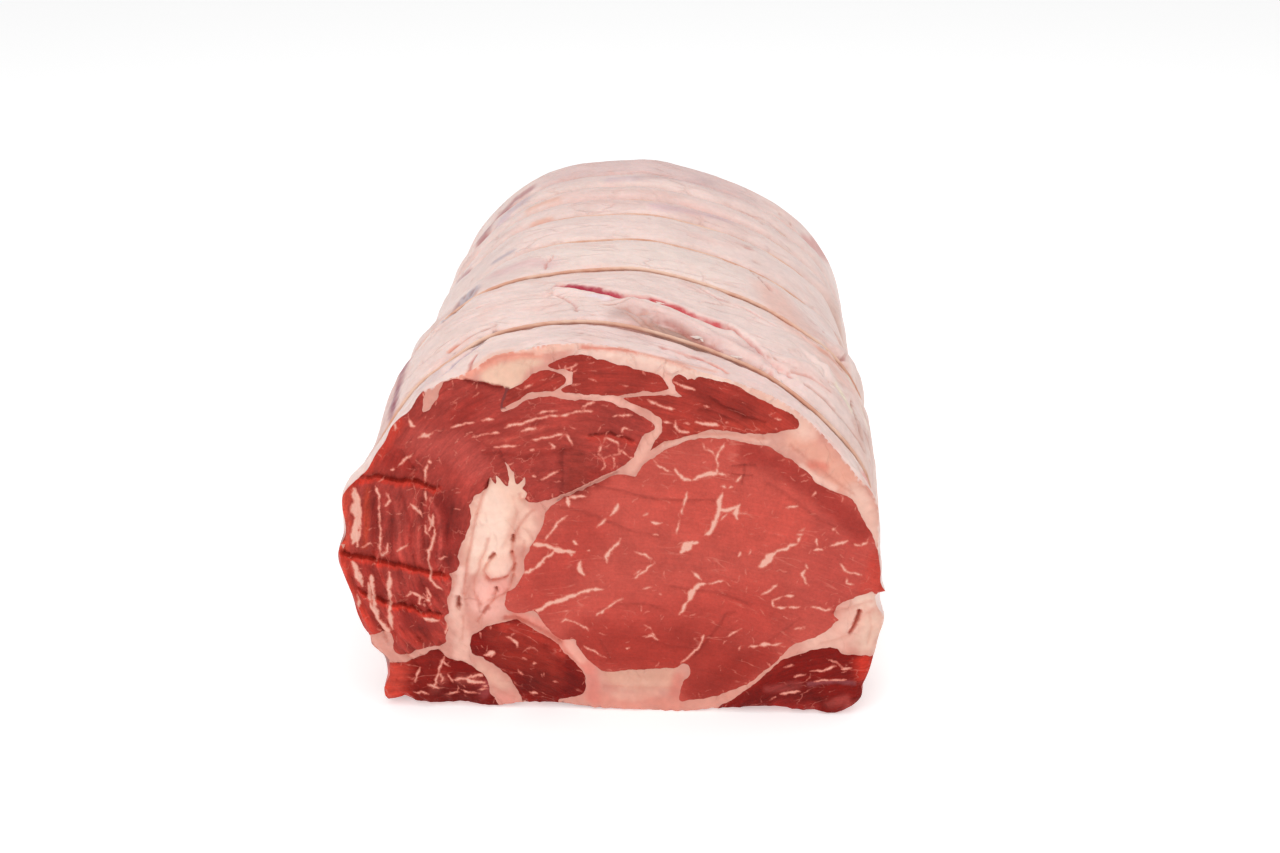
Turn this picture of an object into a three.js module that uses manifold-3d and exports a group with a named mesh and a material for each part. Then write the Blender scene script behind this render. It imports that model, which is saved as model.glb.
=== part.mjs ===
// A raw boneless beef rib roast, rolled and tied: eight muscles run its whole length inside one
// body of fat, and seven loops of butcher's twine hold it round. Millimetres. The front cut is at
// -Y, the fat cap is on top (+Z), the lip of the roast is on the left (-X), and it rests on z = 0.
import * as THREE from "three";
import { mergeVertices } from "three/addons/utils/BufferGeometryUtils.js";
import Module from "manifold-3d";

const wasm = await Module();
wasm.setup();

// Driving dimensions.
const LENGTH = 275;
const WIDTH = 204;
const HEIGHT = 149;
const TIES = [-120, -51, -6, 37, 64, 86, 112]; // where each loop of twine lies along Y
const TWINE_DIAMETER = 1.7;
const TWINE_SIDES = 5;
const GROOVE_DEPTH = 2.7; // how far a loop cuts into the fat
const GROOVE_HALF_WIDTH = 3.4;
const WAIST = 1.6; // how far the whole section is drawn in at a loop
const FACE_BLEND = 42; // the cut face's own outline fades into the body's over this length
const FAT_COVER = 6; // least fat over the muscles where the body faces up, behind the front cut
const FAT_CLOSES = 12; // the fat closes over the muscles within this length behind the front cut
const RIGHT_FAT_FOOT = 30; // on the right side the cover comes down to this height
const GAP = 0.3; // clear space between neighbours
const KNIFE_DEPTH = 2;
const KNIFE_RISE = 6; // height of the slope that ends in each knife step

const FRONT = -LENGTH / 2;
const BACK = LENGTH / 2;

// Outlines are drawn in whole millimetres, x and z, on a section of this size.
const DRAWN_WIDTH = 204;
const DRAWN_HEIGHT = 149;

// The rim of the front cut, anticlockwise from the lower left corner.
const FACE_OUTLINE = [
  [-83, 1], [-60, 0], [-30, 0], [0, 0], [40, 0], [80, 0], [94, 4], [98, 20], [102, 43], [101, 62],
  [98, 80], [92, 97], [80, 112], [66, 125], [50, 133], [30, 139], [8, 146], [-10, 149], [-30, 147],
  [-46, 142], [-60, 132], [-72, 124], [-81, 111], [-90, 98], [-99, 88], [-102, 63], [-97, 43],
  [-91, 28], [-86, 12],
];

// The body behind it, point for point.
const BODY_OUTLINE = [
  [-83, 2], [-60, 0], [-30, 0], [0, 0], [40, 0], [80, 0], [94, 4], [99, 20], [102, 45], [101, 62],
  [98, 81], [93, 98], [83, 114], [68, 127], [49, 137], [29, 144], [8, 149], [-10, 149], [-30, 147],
  [-48, 141], [-62, 132], [-74, 120], [-83, 107], [-89, 93], [-93, 79], [-95, 61], [-94, 43],
  [-91, 27], [-87, 12],
];

// The first rolls of the roast, up to the third loop, bulge at both shoulders, most of all where
// they face these ways in the section, by up to these amounts.
const BULGES = [
  { facing: [-0.72, 0.7], amount: 6 },
  { facing: [0.8, 0.6], amount: 5.5 },
];

// The muscles as the cut shows them, clockwise. Points past the rim let one reach the surface.
const MUSCLES = {
  eye_muscle: {
    colour: "#bd5549",
    outline: [
      [-40, 43], [-33, 54], [-27, 65], [-23, 80], [-18, 86], [-6, 94], [4, 98], [10, 100], [15, 103],
      [23, 107], [32, 110], [45, 111], [61, 108], [68, 104], [77, 97], [86, 91], [92, 85], [96, 78],
      [99, 70], [99, 59], [95, 52], [87, 48], [86, 43], [79, 36], [70, 30], [61, 22], [52, 14],
      [41, 9], [27, 5], [26, 12], [27, 19], [10, 17], [-2, 17], [-7, 24], [-18, 33], [-28, 40],
    ],
  },
  cap_muscle: {
    colour: "#a23c32",
    outline: [
      [-21, 140], [-15, 142], [-7, 143], [1, 141], [9, 138], [18, 137], [21, 135], [21, 133],
      [13, 131], [2, 130], [-7, 130], [-12, 132], [-12, 136], [-16, 139],
    ],
  },
  cap_muscle_tip: {
    colour: "#a23c32",
    outline: [[-32, 132], [-27, 135], [-22, 138], [-16, 137], [-15, 134], [-19, 132]],
  },
  cap_muscle_side: {
    colour: "#a43f35",
    outline: [
      [24, 136], [32, 136], [40, 134], [47, 132], [55, 128], [64, 122], [68, 119], [68, 117],
      [62, 116], [52, 117], [40, 117], [32, 115], [25, 113], [20, 111], [20, 118], [16, 122],
      [10, 126], [7, 127], [13, 129], [24, 130], [27, 130],
    ],
  },
  lip_muscle: {
    colour: "#a9453a",
    outline: [
      [-50, 135], [-44, 132], [-37, 131], [-34, 128], [-26, 129], [-15, 127], [-6, 127], [2, 125],
      [9, 121], [15, 118], [16, 115], [11, 111], [10, 106], [4, 102], [-6, 98], [-16, 90], [-24, 88],
      [-32, 90], [-34, 95], [-37, 101], [-44, 95], [-52, 86], [-53, 75], [-56, 65], [-60, 56],
      [-59, 47], [-61, 41], [-60, 35], [-62, 29], [-66, 27], [-73, 26], [-83, 23], [-91, 27],
      [-106, 32], [-109, 60], [-106, 86], [-92, 98], [-84, 111], [-75, 126], [-67, 122], [-61, 129],
      [-54, 134],
    ],
  },
  rib_muscle_left: {
    colour: "#8a2b23",
    outline: [
      [-84, 18], [-75, 20], [-66, 22], [-57, 19], [-51, 15], [-46, 9], [-45, -3], [-92, -3],
      [-100, 14],
    ],
  },
  rib_muscle_middle: {
    colour: "#8f3128",
    outline: [
      [-55, 31], [-47, 35], [-36, 37], [-28, 36], [-21, 28], [-15, 22], [-10, 13], [-10, 7],
      [-14, -3], [-34, -3], [-37, 10], [-42, 17], [-48, 22], [-54, 24],
    ],
  },
  rib_muscle_right: {
    colour: "#8c2e26",
    outline: [
      [42, -3], [49, 7], [57, 14], [65, 21], [77, 26], [87, 28], [96, 25], [110, 25], [106, -3],
    ],
  },
};

// Three shallow steps that the knife left in the lip, each from its left to its right end.
const KNIFE_STEPS = [
  { left: [-104, 95], right: [-65, 94] },
  { left: [-106, 62], right: [-60, 53] },
  { left: [-92, 45], right: [-64, 41] },
];

const FAT_COLOUR = "#ebc8bb";
const TWINE_COLOUR = "#ddb0a2";

function drawn(points) {
  return points.map(
    ([x, z]) => new THREE.Vector2((x * WIDTH) / DRAWN_WIDTH, (z * HEIGHT) / DRAWN_HEIGHT),
  );
}

// A closed smooth curve through the points, with one more point in the middle of each span.
function smoothed(points) {
  const curve = new THREE.CatmullRomCurve3(
    points.map((p) => new THREE.Vector3(p.x, p.y, 0)),
    true,
    "catmullrom",
  );
  const ring = curve.getPoints(2 * points.length).slice(0, -1);
  return ring.map((p) => new THREE.Vector2(p.x, Math.max(p.y, 0)));
}

// At each corner of an anticlockwise outline, the way to move it so that both its edges move out
// by one millimetre. At a sharp point the corner moves less, so that it doesn't run far out.
function outwards(points) {
  const sharpest = 0.3;
  const normal = (from, to) => new THREE.Vector2(to.y - from.y, from.x - to.x).normalize();
  return points.map((p, i) => {
    const before = normal(points[(i + points.length - 1) % points.length], p);
    const after = normal(p, points[(i + 1) % points.length]);
    return before.clone().add(after).divideScalar(Math.max(sharpest, 1 + before.dot(after)));
  });
}

// The outline with each of its edges moved out, by an amount that may depend on the way the
// outline faces there and on the place.
function moved(points, amountAt) {
  const out = outwards(points);
  return points.map((p, i) => p.clone().addScaledVector(out[i], amountAt(out[i], p)));
}

const faceRing = smoothed(drawn(FACE_OUTLINE));
const bodyRing = smoothed(drawn(BODY_OUTLINE));

// How far the section is drawn in at y: fully at each loop, not at all midway or at the cuts.
function waistAt(y) {
  const edges = [FRONT, ...TIES, BACK];
  const next = edges.findIndex((edge) => edge >= y);
  if (next <= 0) return 0;
  const share = (y - edges[next - 1]) / (edges[next] - edges[next - 1]);
  if (next === 1) return WAIST * share;
  if (next === edges.length - 1) return WAIST * (1 - share);
  return WAIST * (1 - Math.sin(Math.PI * share));
}

function grooveAt(y) {
  const nearest = Math.min(...TIES.map((tie) => Math.abs(y - tie)));
  return GROOVE_DEPTH * Math.max(0, 1 - nearest / GROOVE_HALF_WIDTH);
}

// How far the first rolls stand out at y on a side that faces the way of n.
function bulgeAt(y, n) {
  const share = (y - FRONT) / (TIES[2] - FRONT);
  if (share >= 1) return 0;
  const swell = Math.sin(Math.PI * share);
  return BULGES.reduce((sum, { facing, amount }) => {
    const likeness = n.dot(new THREE.Vector2(...facing).normalize());
    return sum + amount * swell * THREE.MathUtils.smoothstep(likeness, 0.8, 1);
  }, 0);
}

// The body's section at y, `rise` millimetres out from its surface. The flat base isn't drawn in.
function sectionAt(y, rise = 0) {
  const share = THREE.MathUtils.smoothstep(y, FRONT, FRONT + FACE_BLEND);
  const ring = faceRing.map((p, i) => p.clone().lerp(bodyRing[i], share));
  const waist = waistAt(y);
  const groove = grooveAt(y);
  return moved(ring, (n) => {
    const drawnIn = waist * THREE.MathUtils.smoothstep(n.y, -1, -0.5);
    return rise + bulgeAt(y, n) - groove - drawnIn;
  });
}

// A solid through one section per station along Y, all with the same number of corners: an
// extrusion with one step per station, whose rings then take each section's own corners.
function loft(stations, sectionFor) {
  const sections = stations.map(sectionFor);
  const last = stations.length - 1;
  const depth = LENGTH;
  const geometry = new THREE.ExtrudeGeometry(new THREE.Shape(sections[last]), {
    depth,
    steps: last,
    bevelEnabled: false,
  });
  const keyOf = (x, y) => `${Math.fround(x)} ${Math.fround(y)}`;
  const corner = new Map(sections[last].map((p, i) => [keyOf(p.x, p.y), i]));
  const position = geometry.getAttribute("position");
  for (let i = 0; i < position.count; i += 1) {
    const station = last - Math.round((position.getZ(i) * last) / depth);
    const point = sections[station][corner.get(keyOf(position.getX(i), position.getY(i)))];
    position.setXYZ(i, point.x, stations[station], point.y);
  }
  return geometry;
}

// A solid for cutting and joining, from a closed geometry.
function solidOf(geometry) {
  geometry.deleteAttribute("normal");
  geometry.deleteAttribute("uv");
  const merged = mergeVertices(geometry, 1e-3);
  return new wasm.Manifold(
    new wasm.Mesh({
      numProp: 3,
      vertProperties: merged.getAttribute("position").array,
      triVerts: new Uint32Array(merged.index.array),
    }),
  );
}

function addMesh(group, name, solid, material) {
  const { vertProperties, triVerts } = solid.getMesh();
  const geometry = new THREE.BufferGeometry();
  geometry.setAttribute("position", new THREE.BufferAttribute(vertProperties, 3));
  geometry.setIndex(new THREE.BufferAttribute(triVerts, 1));
  geometry.computeVertexNormals();
  const mesh = new THREE.Mesh(geometry, material);
  mesh.name = name;
  group.add(mesh);
}

// Stations along the body: both cuts, the two rims and the bottom of each groove, and the
// bulges between, with more of them where two loops lie far apart.
function bodyStations() {
  const stations = [FRONT, (FRONT + TIES[0]) / 2];
  TIES.forEach((tie, i) => {
    stations.push(tie - GROOVE_HALF_WIDTH, tie, tie + GROOVE_HALF_WIDTH);
    const end = TIES[i + 1] ?? BACK;
    const bulges = end - tie > 60 ? [0.25, 0.5, 0.75] : [0.5];
    bulges.forEach((share) => stations.push(tie + share * (end - tie)));
  });
  stations.push(BACK);
  return stations;
}

function bodySolid() {
  return solidOf(loft(bodyStations(), (y) => sectionAt(y)));
}

// The room that the muscles may take, `rise` larger all round: the body less its fat cover, which
// lies on the sides that face up and down the right side to its foot. Elsewhere the room reaches
// past the body's surface.
function coreSolid(rise) {
  const past = 1;
  const stations = [FRONT - past, FRONT, FRONT + FAT_CLOSES, ...TIES.slice(1, 6), BACK + past];
  return solidOf(
    loft(stations, (y) => {
      const closed = THREE.MathUtils.smoothstep(y, FRONT, FRONT + FAT_CLOSES);
      const share = THREE.MathUtils.smoothstep(y, FRONT, FRONT + FACE_BLEND);
      const ring = faceRing.map((p, i) => p.clone().lerp(bodyRing[i], share));
      return moved(ring, (n, p) => {
        const above = THREE.MathUtils.smoothstep(n.y, 0.05, 0.4);
        const beside = p.x > 0 && p.y > RIGHT_FAT_FOOT ? 1 : 0;
        const covered = closed * Math.max(above, beside);
        return rise + past + bulgeAt(y, n) - (FAT_COVER + past) * covered;
      });
    }),
  );
}

// A muscle run straight past both cuts, `rise` larger all round.
function muscleSolid(outline, rise) {
  const past = 1;
  const ring = moved(drawn(outline).reverse(), () => rise);
  return solidOf(loft([FRONT - past, BACK + past], () => ring));
}

// What one knife step takes away: a long prism whose slope runs in to the step's foot.
function knifeCut({ left, right }) {
  const [from, to] = drawn([left, right]);
  const slope = new THREE.Shape([
    new THREE.Vector2(0, 0),
    new THREE.Vector2(KNIFE_DEPTH, 0),
    new THREE.Vector2(-KNIFE_DEPTH / 4, KNIFE_RISE * 1.25),
    new THREE.Vector2(-KNIFE_DEPTH, KNIFE_RISE * 1.25),
    new THREE.Vector2(-KNIFE_DEPTH, 0),
  ]);
  const run = from.distanceTo(to);
  const geometry = new THREE.ExtrudeGeometry(slope, { depth: run, bevelEnabled: false });
  const along = to.clone().sub(from).divideScalar(run);
  const frame = new THREE.Matrix4().makeBasis(
    new THREE.Vector3(0, 1, 0),
    new THREE.Vector3(-along.y, 0, along.x),
    new THREE.Vector3(along.x, 0, along.y),
  );
  geometry.applyMatrix4(frame.setPosition(from.x, FRONT, from.y));
  return solidOf(geometry);
}

// One loop of twine: a torus whose ring follows the bottom of its groove, clear of both walls.
function twineSolid(y) {
  const radius = TWINE_DIAMETER / 2;
  const flank = Math.atan2(GROOVE_HALF_WIDTH, GROOVE_DEPTH);
  const rise = (radius + GAP) / Math.sin(flank);
  const ring = sectionAt(y, rise);
  const out = outwards(ring);
  const geometry = new THREE.TorusGeometry(1, 0.5, TWINE_SIDES, ring.length);
  const position = geometry.getAttribute("position");
  const uv = geometry.getAttribute("uv");
  for (let i = 0; i < position.count; i += 1) {
    const corner = Math.round(uv.getX(i) * ring.length) % ring.length;
    const turn = 2 * Math.PI * uv.getY(i);
    const reach = radius * Math.cos(turn);
    position.setXYZ(
      i,
      ring[corner].x + out[corner].x * reach,
      y - radius * Math.sin(turn),
      ring[corner].y + out[corner].y * reach,
    );
  }
  return solidOf(geometry);
}

const roast = new THREE.Group();
roast.name = "rib_roast";

const body = bodySolid();
const tunnelRoom = coreSolid(GAP / 2);
const muscleRoom = body.intersect(coreSolid(-GAP / 2));
let fat = body;
for (const [name, { colour, outline }] of Object.entries(MUSCLES)) {
  fat = fat.subtract(muscleSolid(outline, GAP / 2).intersect(tunnelRoom));
  let muscle = muscleSolid(outline, -GAP / 2).intersect(muscleRoom);
  if (name === "lip_muscle") {
    muscle = KNIFE_STEPS.reduce((rest, step) => rest.subtract(knifeCut(step)), muscle);
  }
  addMesh(
    roast,
    name,
    muscle,
    new THREE.MeshStandardMaterial({ color: colour, roughness: 0.4, metalness: 0 }),
  );
}
addMesh(
  roast,
  "fat",
  fat,
  new THREE.MeshStandardMaterial({ color: FAT_COLOUR, roughness: 0.5, metalness: 0 }),
);
TIES.forEach((y, i) => {
  addMesh(
    roast,
    `twine_${i + 1}`,
    twineSolid(y),
    new THREE.MeshStandardMaterial({ color: TWINE_COLOUR, roughness: 0.9, metalness: 0 }),
  );
});

export default roast;
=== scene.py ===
import math

import bmesh
import bpy
import numpy as np
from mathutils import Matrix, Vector
from mathutils.geometry import delaunay_2d_cdt


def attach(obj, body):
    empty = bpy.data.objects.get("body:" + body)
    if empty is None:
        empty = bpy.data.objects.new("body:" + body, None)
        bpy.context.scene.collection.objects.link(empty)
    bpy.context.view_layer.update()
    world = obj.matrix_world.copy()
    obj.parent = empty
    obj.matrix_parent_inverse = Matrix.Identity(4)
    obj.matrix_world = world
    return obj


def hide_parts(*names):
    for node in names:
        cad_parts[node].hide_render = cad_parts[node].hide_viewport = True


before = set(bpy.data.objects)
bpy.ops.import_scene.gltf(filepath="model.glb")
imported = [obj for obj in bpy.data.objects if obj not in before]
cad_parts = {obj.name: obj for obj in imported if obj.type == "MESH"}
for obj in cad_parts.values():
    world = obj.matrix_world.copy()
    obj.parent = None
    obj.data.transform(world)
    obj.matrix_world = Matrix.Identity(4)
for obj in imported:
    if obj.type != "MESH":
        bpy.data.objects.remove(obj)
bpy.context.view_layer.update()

# ---------------------------------------------------------------------------------------------
# The view: the roast stands on a plain pale table with its cut end towards the viewer, who looks
# a little down on it. Wide soft lamps above it and a white room leave almost no shadow.

camera_data = bpy.data.cameras.new("camera")
camera_data.sensor_width = 36
camera_data.lens = 56.25
camera = bpy.data.objects.new("camera", camera_data)
camera.location = (0.0404, -0.8145, 0.3816)
camera.rotation_euler = (math.radians(68.7), 0, math.radians(2.45))
bpy.context.scene.collection.objects.link(camera)
bpy.context.scene.camera = camera
bpy.context.scene.view_settings.view_transform = "Standard"


def feed(tree, node, feeds):
    """Puts a plain value or a link into each named or numbered input of the node."""
    for socket, value in feeds.items():
        if isinstance(value, bpy.types.NodeSocket):
            tree.links.new(value, node.inputs[socket])
        else:
            node.inputs[socket].default_value = value


room = bpy.data.worlds.new("white_room")
room.use_nodes = True
feed(room.node_tree, room.node_tree.nodes["Background"], {"Color": (1, 1, 1, 1), "Strength": 0.58})
bpy.context.scene.world = room


def soft_lamp(name, place, aim, size, power):
    """A square lamp at `place` that faces `aim`, both in metres."""
    lamp_data = bpy.data.lights.new(name, "AREA")
    lamp_data.size = size
    lamp_data.energy = power
    lamp = bpy.data.objects.new(name, lamp_data)
    lamp.location = place
    lamp.rotation_euler = (Vector(aim) - Vector(place)).to_track_quat("-Z", "Y").to_euler()
    bpy.context.scene.collection.objects.link(lamp)


soft_lamp("lamp_above", (0.1, -0.1, 1.3), (0, 0, 0), 1.2, 6)
soft_lamp("lamp_front", (-0.5, -1.2, 0.9), (0, -0.1, 0.07), 0.9, 5)


def new_material(name):
    """A material, its node tree and its surface shader."""
    material = bpy.data.materials.new(name)
    material.use_nodes = True
    return material, material.node_tree, material.node_tree.nodes["Principled BSDF"]


TABLE_HALF = 4.0
table_mesh = bpy.data.meshes.new("table")
table_mesh.from_pydata([(TABLE_HALF * x, TABLE_HALF * y, 0)
                        for x, y in ((-1, -1), (1, -1), (1, 1), (-1, 1))], [], [(0, 1, 2, 3)])
table = bpy.data.objects.new("table", table_mesh)
bpy.context.scene.collection.objects.link(table)
white_table, tree, surface = new_material("white_table")
feed(tree, surface, {"Base Color": (0.93, 0.93, 0.93, 1), "Roughness": 0.9,
                     "Emission Color": (1, 1, 1, 1), "Emission Strength": 0.35})
table_mesh.materials.append(white_table)

# ---------------------------------------------------------------------------------------------
# The roast's own form: a boned rib of beef, rolled and tied. One closed ring of skin changes from
# the outline of the front cut to that of the body, is drawn in at every loop of twine and swells
# between them. All later pieces take their places from it. Millimetres, as the part's own source.

LENGTH = 275.0
FRONT, BACK = -LENGTH / 2, LENGTH / 2
TIES = np.array([-120, -51, -6, 37, 64, 86, 112], float)
GROOVE_DEPTH = 2.7
GROOVE_HALF_WIDTH = 3.4
WAIST = 1.6
FACE_BLEND = 42.0
RIM_FADE = 7.0
BULGES = [((-0.72, 0.70), 6.0), ((0.80, 0.60), 5.5)]
MIDDLE = np.array([0.0, 70.0])  # the rings are round enough to be seen whole from here

FACE_OUTLINE = [
    (-83, 1), (-60, 0), (-30, 0), (0, 0), (40, 0), (80, 0), (94, 4), (98, 20), (102, 43),
    (101, 62), (98, 80), (92, 97), (80, 112), (66, 125), (50, 133), (30, 139), (8, 146),
    (-10, 149), (-30, 147), (-46, 142), (-60, 132), (-72, 124), (-81, 111), (-90, 98), (-99, 88),
    (-102, 63), (-97, 43), (-91, 28), (-86, 12)]
BODY_OUTLINE = [
    (-83, 2), (-60, 0), (-30, 0), (0, 0), (40, 0), (80, 0), (94, 4), (99, 20), (102, 45),
    (101, 62), (98, 81), (93, 98), (83, 114), (68, 127), (49, 137), (29, 144), (8, 149),
    (-10, 149), (-30, 147), (-48, 141), (-62, 132), (-74, 120), (-83, 107), (-89, 93), (-93, 79),
    (-95, 61), (-94, 43), (-91, 27), (-87, 12)]

# The rim of the front cut as the knife left it, with its tags, steps and hollows.
CUT_RIM = [
    (-87, 3), (-85.5, 2), (-82, 3), (-78, 4.5), (-75, 2), (-66, 1.5), (-57, 2.2), (-51, 1),
    (-47, 0.7), (-43, 0.7), (-38, 1.8), (-34, 2.3), (-27, 2.6), (-18, 2.2), (-12, 1.3), (-4, 0.8),
    (6, 0.2), (20, 0), (31, 0.2), (40, 1.2), (48, 2), (56, 2.7), (65, 2.8), (70, 1.8), (76, 1.4),
    (80, 1.6), (84, 0.3), (87, 0.4), (91, 2.3), (95, 5.8), (96.4, 9), (96, 12), (97.5, 15.5),
    (98.8, 19.5), (99.7, 24), (100.6, 28), (101.3, 33), (102.4, 37), (103.2, 40), (103, 43),
    (101, 45), (99.9, 47.5), (99.5, 50.8), (101, 51.7), (103.3, 52.4), (101.9, 54.5), (101.1, 57),
    (101.2, 60), (100.6, 64), (99.8, 69), (100, 75), (99.6, 81), (98.8, 88), (95.5, 94),
    (91, 98.5), (87, 104), (82, 110), (76, 117), (68, 124), (59, 129.7), (50, 133.3), (40, 136.8),
    (30, 139.7), (20, 143), (10, 145.6), (3, 147.4), (-6, 148.7), (-14, 148.6), (-23, 147.8),
    (-31, 145.8), (-38, 144.4), (-43, 142.5), (-48, 138.6), (-53, 136), (-60, 133.4), (-64, 131),
    (-67.3, 129.6), (-70, 126.5), (-73, 121.5), (-77, 118.4), (-80, 115), (-82.5, 109.5),
    (-86, 104.5), (-90, 97.5), (-94.5, 93.6), (-98.8, 88.5), (-99.6, 84), (-99, 77), (-99.2, 71),
    (-101.8, 66), (-102.2, 61), (-100.8, 56.5), (-99, 51), (-97.8, 46), (-96.8, 41), (-95.6, 36.5),
    (-94, 32.5), (-92, 29.5), (-91.4, 25.8), (-88.5, 22.6), (-86, 20.8), (-84.9, 17), (-85.2, 12),
    (-87, 8.8), (-87.6, 6)]

# The loops don't lie quite square: how far each wanders along the roast, by the angle in degrees
# round the middle (0 right, 90 top, 180 left).
WANDER_ANGLES = np.array([-60, 0, 28, 38, 48, 65, 90, 112, 130, 160, 240], float)
WANDER = np.array([
    [0, 0, -6, -7, 4, 11, 10.5, 12, 4, 1, 0],
    [0, 0, -4, -8, 4, 11, 9, 6, -8, -5, 0],
    [0, 5, 9, 10, 10, 10, 7, 6, 4, 0, 0],
    [0, 5, 8, 9, 9, 8, 5, 4, 5, 2, 0],
    [0, 2, 4, 5, 6, 4, 2, 1, 2, 0, 0],
    [0, 3, 5, 6, 6, 4, 2, 3, 2, 0, 0],
    [0, 0, 1, 2, 2, 2, 1, 1, 0, 0, 0]], float)

EVERY_DEGREE = np.arange(-90.0, 271.0)
SOFT_REACH = 12  # degrees to each side over which the bends of a loop are softened
soften = np.exp(-(np.arange(-SOFT_REACH, SOFT_REACH + 1) / 4.0) ** 2)
SOFT_WANDER = [
    np.convolve(np.pad(np.interp(EVERY_DEGREE, WANDER_ANGLES, row), SOFT_REACH, "edge"),
                soften / soften.sum(), "valid") for row in WANDER]

RING_SPACING_TOP = 1.0
RING_SPACING_SIDE = 1.6
RING_SPACING_BASE = 4.0


def smooth_loop(points, per_span):
    """Closed curve through the points: Catmull-Rom cubics, each span in its own number of
    steps."""
    p = np.asarray(points, float)
    before, after, beyond = np.roll(p, 1, 0), np.roll(p, -1, 0), np.roll(p, -2, 0)
    span = np.repeat(np.arange(len(p)), per_span)
    t = np.concatenate([np.arange(n) / n for n in per_span])[:, None]
    a, b, c, d = before[span], p[span], after[span], beyond[span]
    return 0.5 * (2 * b + (c - a) * t + (2 * a - 5 * b + 4 * c - d) * t**2
                  + (3 * b - a - 3 * c + d) * t**3)


def smooth_step(value, low, high):
    """0 below `low`, 1 above `high`, and the cubic 3t^2 - 2t^3 between them."""
    t = np.clip((value - low) / (high - low), 0, 1)
    return t * t * (3 - 2 * t)


spans = np.linalg.norm(np.roll(FACE_OUTLINE, -1, 0) - np.array(FACE_OUTLINE), axis=1)
span_height = (np.array(FACE_OUTLINE)[:, 1] + np.roll(FACE_OUTLINE, -1, 0)[:, 1]) / 2
spacing = np.where(span_height > 95, RING_SPACING_TOP, RING_SPACING_SIDE)
spacing = np.where(span_height < 5, RING_SPACING_BASE, spacing)
per_span = np.ceil(spans / spacing).astype(int)
face_ring = smooth_loop(FACE_OUTLINE, per_span)
body_ring = smooth_loop(BODY_OUTLINE, per_span)
face_ring[:, 1] = np.maximum(face_ring[:, 1], 0)
body_ring[:, 1] = np.maximum(body_ring[:, 1], 0)

# How far the knife's own rim stands out from the plain face outline, looked up by the angle round
# the middle, so that every ring point has one rim point.
fine_rim = smooth_loop(CUT_RIM, np.full(len(CUT_RIM), 6)) - MIDDLE
rim_angle = np.unwrap(np.arctan2(fine_rim[:, 1], fine_rim[:, 0]))
rim_reach = np.hypot(fine_rim[:, 0], fine_rim[:, 1])
ring_angle = np.arctan2(face_ring[:, 1] - MIDDLE[1], face_ring[:, 0] - MIDDLE[0])
rim_offset = np.interp(ring_angle, rim_angle, rim_reach, period=2 * math.pi)
rim_offset -= np.hypot(face_ring[:, 0] - MIDDLE[0], face_ring[:, 1] - MIDDLE[1])
rim_ways = (face_ring - MIDDLE) / np.linalg.norm(face_ring - MIDDLE, axis=1)[:, None]


def ring_at(y, rise=0.0, groove_depth=GROOVE_DEPTH):
    """Rings of the body, one for each y: the face outline blends into the body outline by a smooth
    step, and each point moves along its own outward way by rise + bulge - groove - waist. Also
    gives the outward ways. Both arrays are (stations, ring points, 2)."""
    y = np.atleast_1d(np.asarray(y, float))[:, None]
    share = smooth_step(y, FRONT, FRONT + FACE_BLEND)[..., None]
    ring = face_ring * (1 - share) + body_ring * share
    along = np.roll(ring, -1, 1) - np.roll(ring, 1, 1)
    out = np.stack([along[..., 1], -along[..., 0]], -1)
    out /= np.maximum(np.linalg.norm(out, axis=-1, keepdims=True), 1e-9)
    fade = np.exp(-(y - FRONT) / RIM_FADE)
    ring = ring + rim_ways * (rim_offset * fade)[..., None]

    edges = np.concatenate([[FRONT], TIES, [BACK]])
    place = np.clip(np.searchsorted(edges, y, side="left"), 1, len(edges) - 1)
    part = (y - edges[place - 1]) / (edges[place] - edges[place - 1])
    waist = WAIST * (1 - np.sin(np.pi * part))
    waist = np.where(place == 1, WAIST * part, waist)
    waist = np.where(place == len(edges) - 1, WAIST * (1 - part), waist)
    nearest = np.abs(y[..., None] - TIES).min(-1)
    groove = groove_depth * np.clip(1 - nearest / GROOVE_HALF_WIDTH, 0, 1) ** 1.5
    part = np.clip((y - FRONT) / (TIES[2] - FRONT), 0, 1)
    bulge = sum(amount * np.sin(np.pi * part)
                * smooth_step(out @ (np.array(facing) / np.hypot(*facing)), 0.8, 1.0)
                for facing, amount in BULGES)
    drawn_in = waist * smooth_step(out[..., 1], -1.0, -0.5)
    return ring + out * (rise + bulge - groove - drawn_in)[..., None], out


def wander_at(y, ring):
    """How far a point of the skin goes along the roast with the loops nearest to it: the loops'
    own wander at its angle, in straight proportion between two loops and 0 at both ends."""
    angle = np.degrees(np.arctan2(ring[..., 1] - MIDDLE[1], ring[..., 0] - MIDDLE[0]))
    angle = (angle + 90) % 360 - 90
    by_loop = np.stack([np.interp(angle, EVERY_DEGREE, row) for row in SOFT_WANDER])
    stops = np.concatenate([[FRONT], TIES, [BACK]])
    table = np.concatenate([by_loop[:1] * 0, by_loop, by_loop[:1] * 0])
    y = np.broadcast_to(y, angle.shape)
    place = np.clip(np.searchsorted(stops, y, side="right"), 1, len(stops) - 1)
    part = (y - stops[place - 1]) / (stops[place] - stops[place - 1])
    low = np.take_along_axis(table, (place - 1)[None], 0)[0]
    high = np.take_along_axis(table, place[None], 0)[0]
    return low + (high - low) * part


# ---------------------------------------------------------------------------------------------
# The eight muscles: lean beef, cut square across at both ends. The outlines follow the front cut,
# where thin seams of fat part them; the ones that reach the skin run past the rim here.

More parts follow.
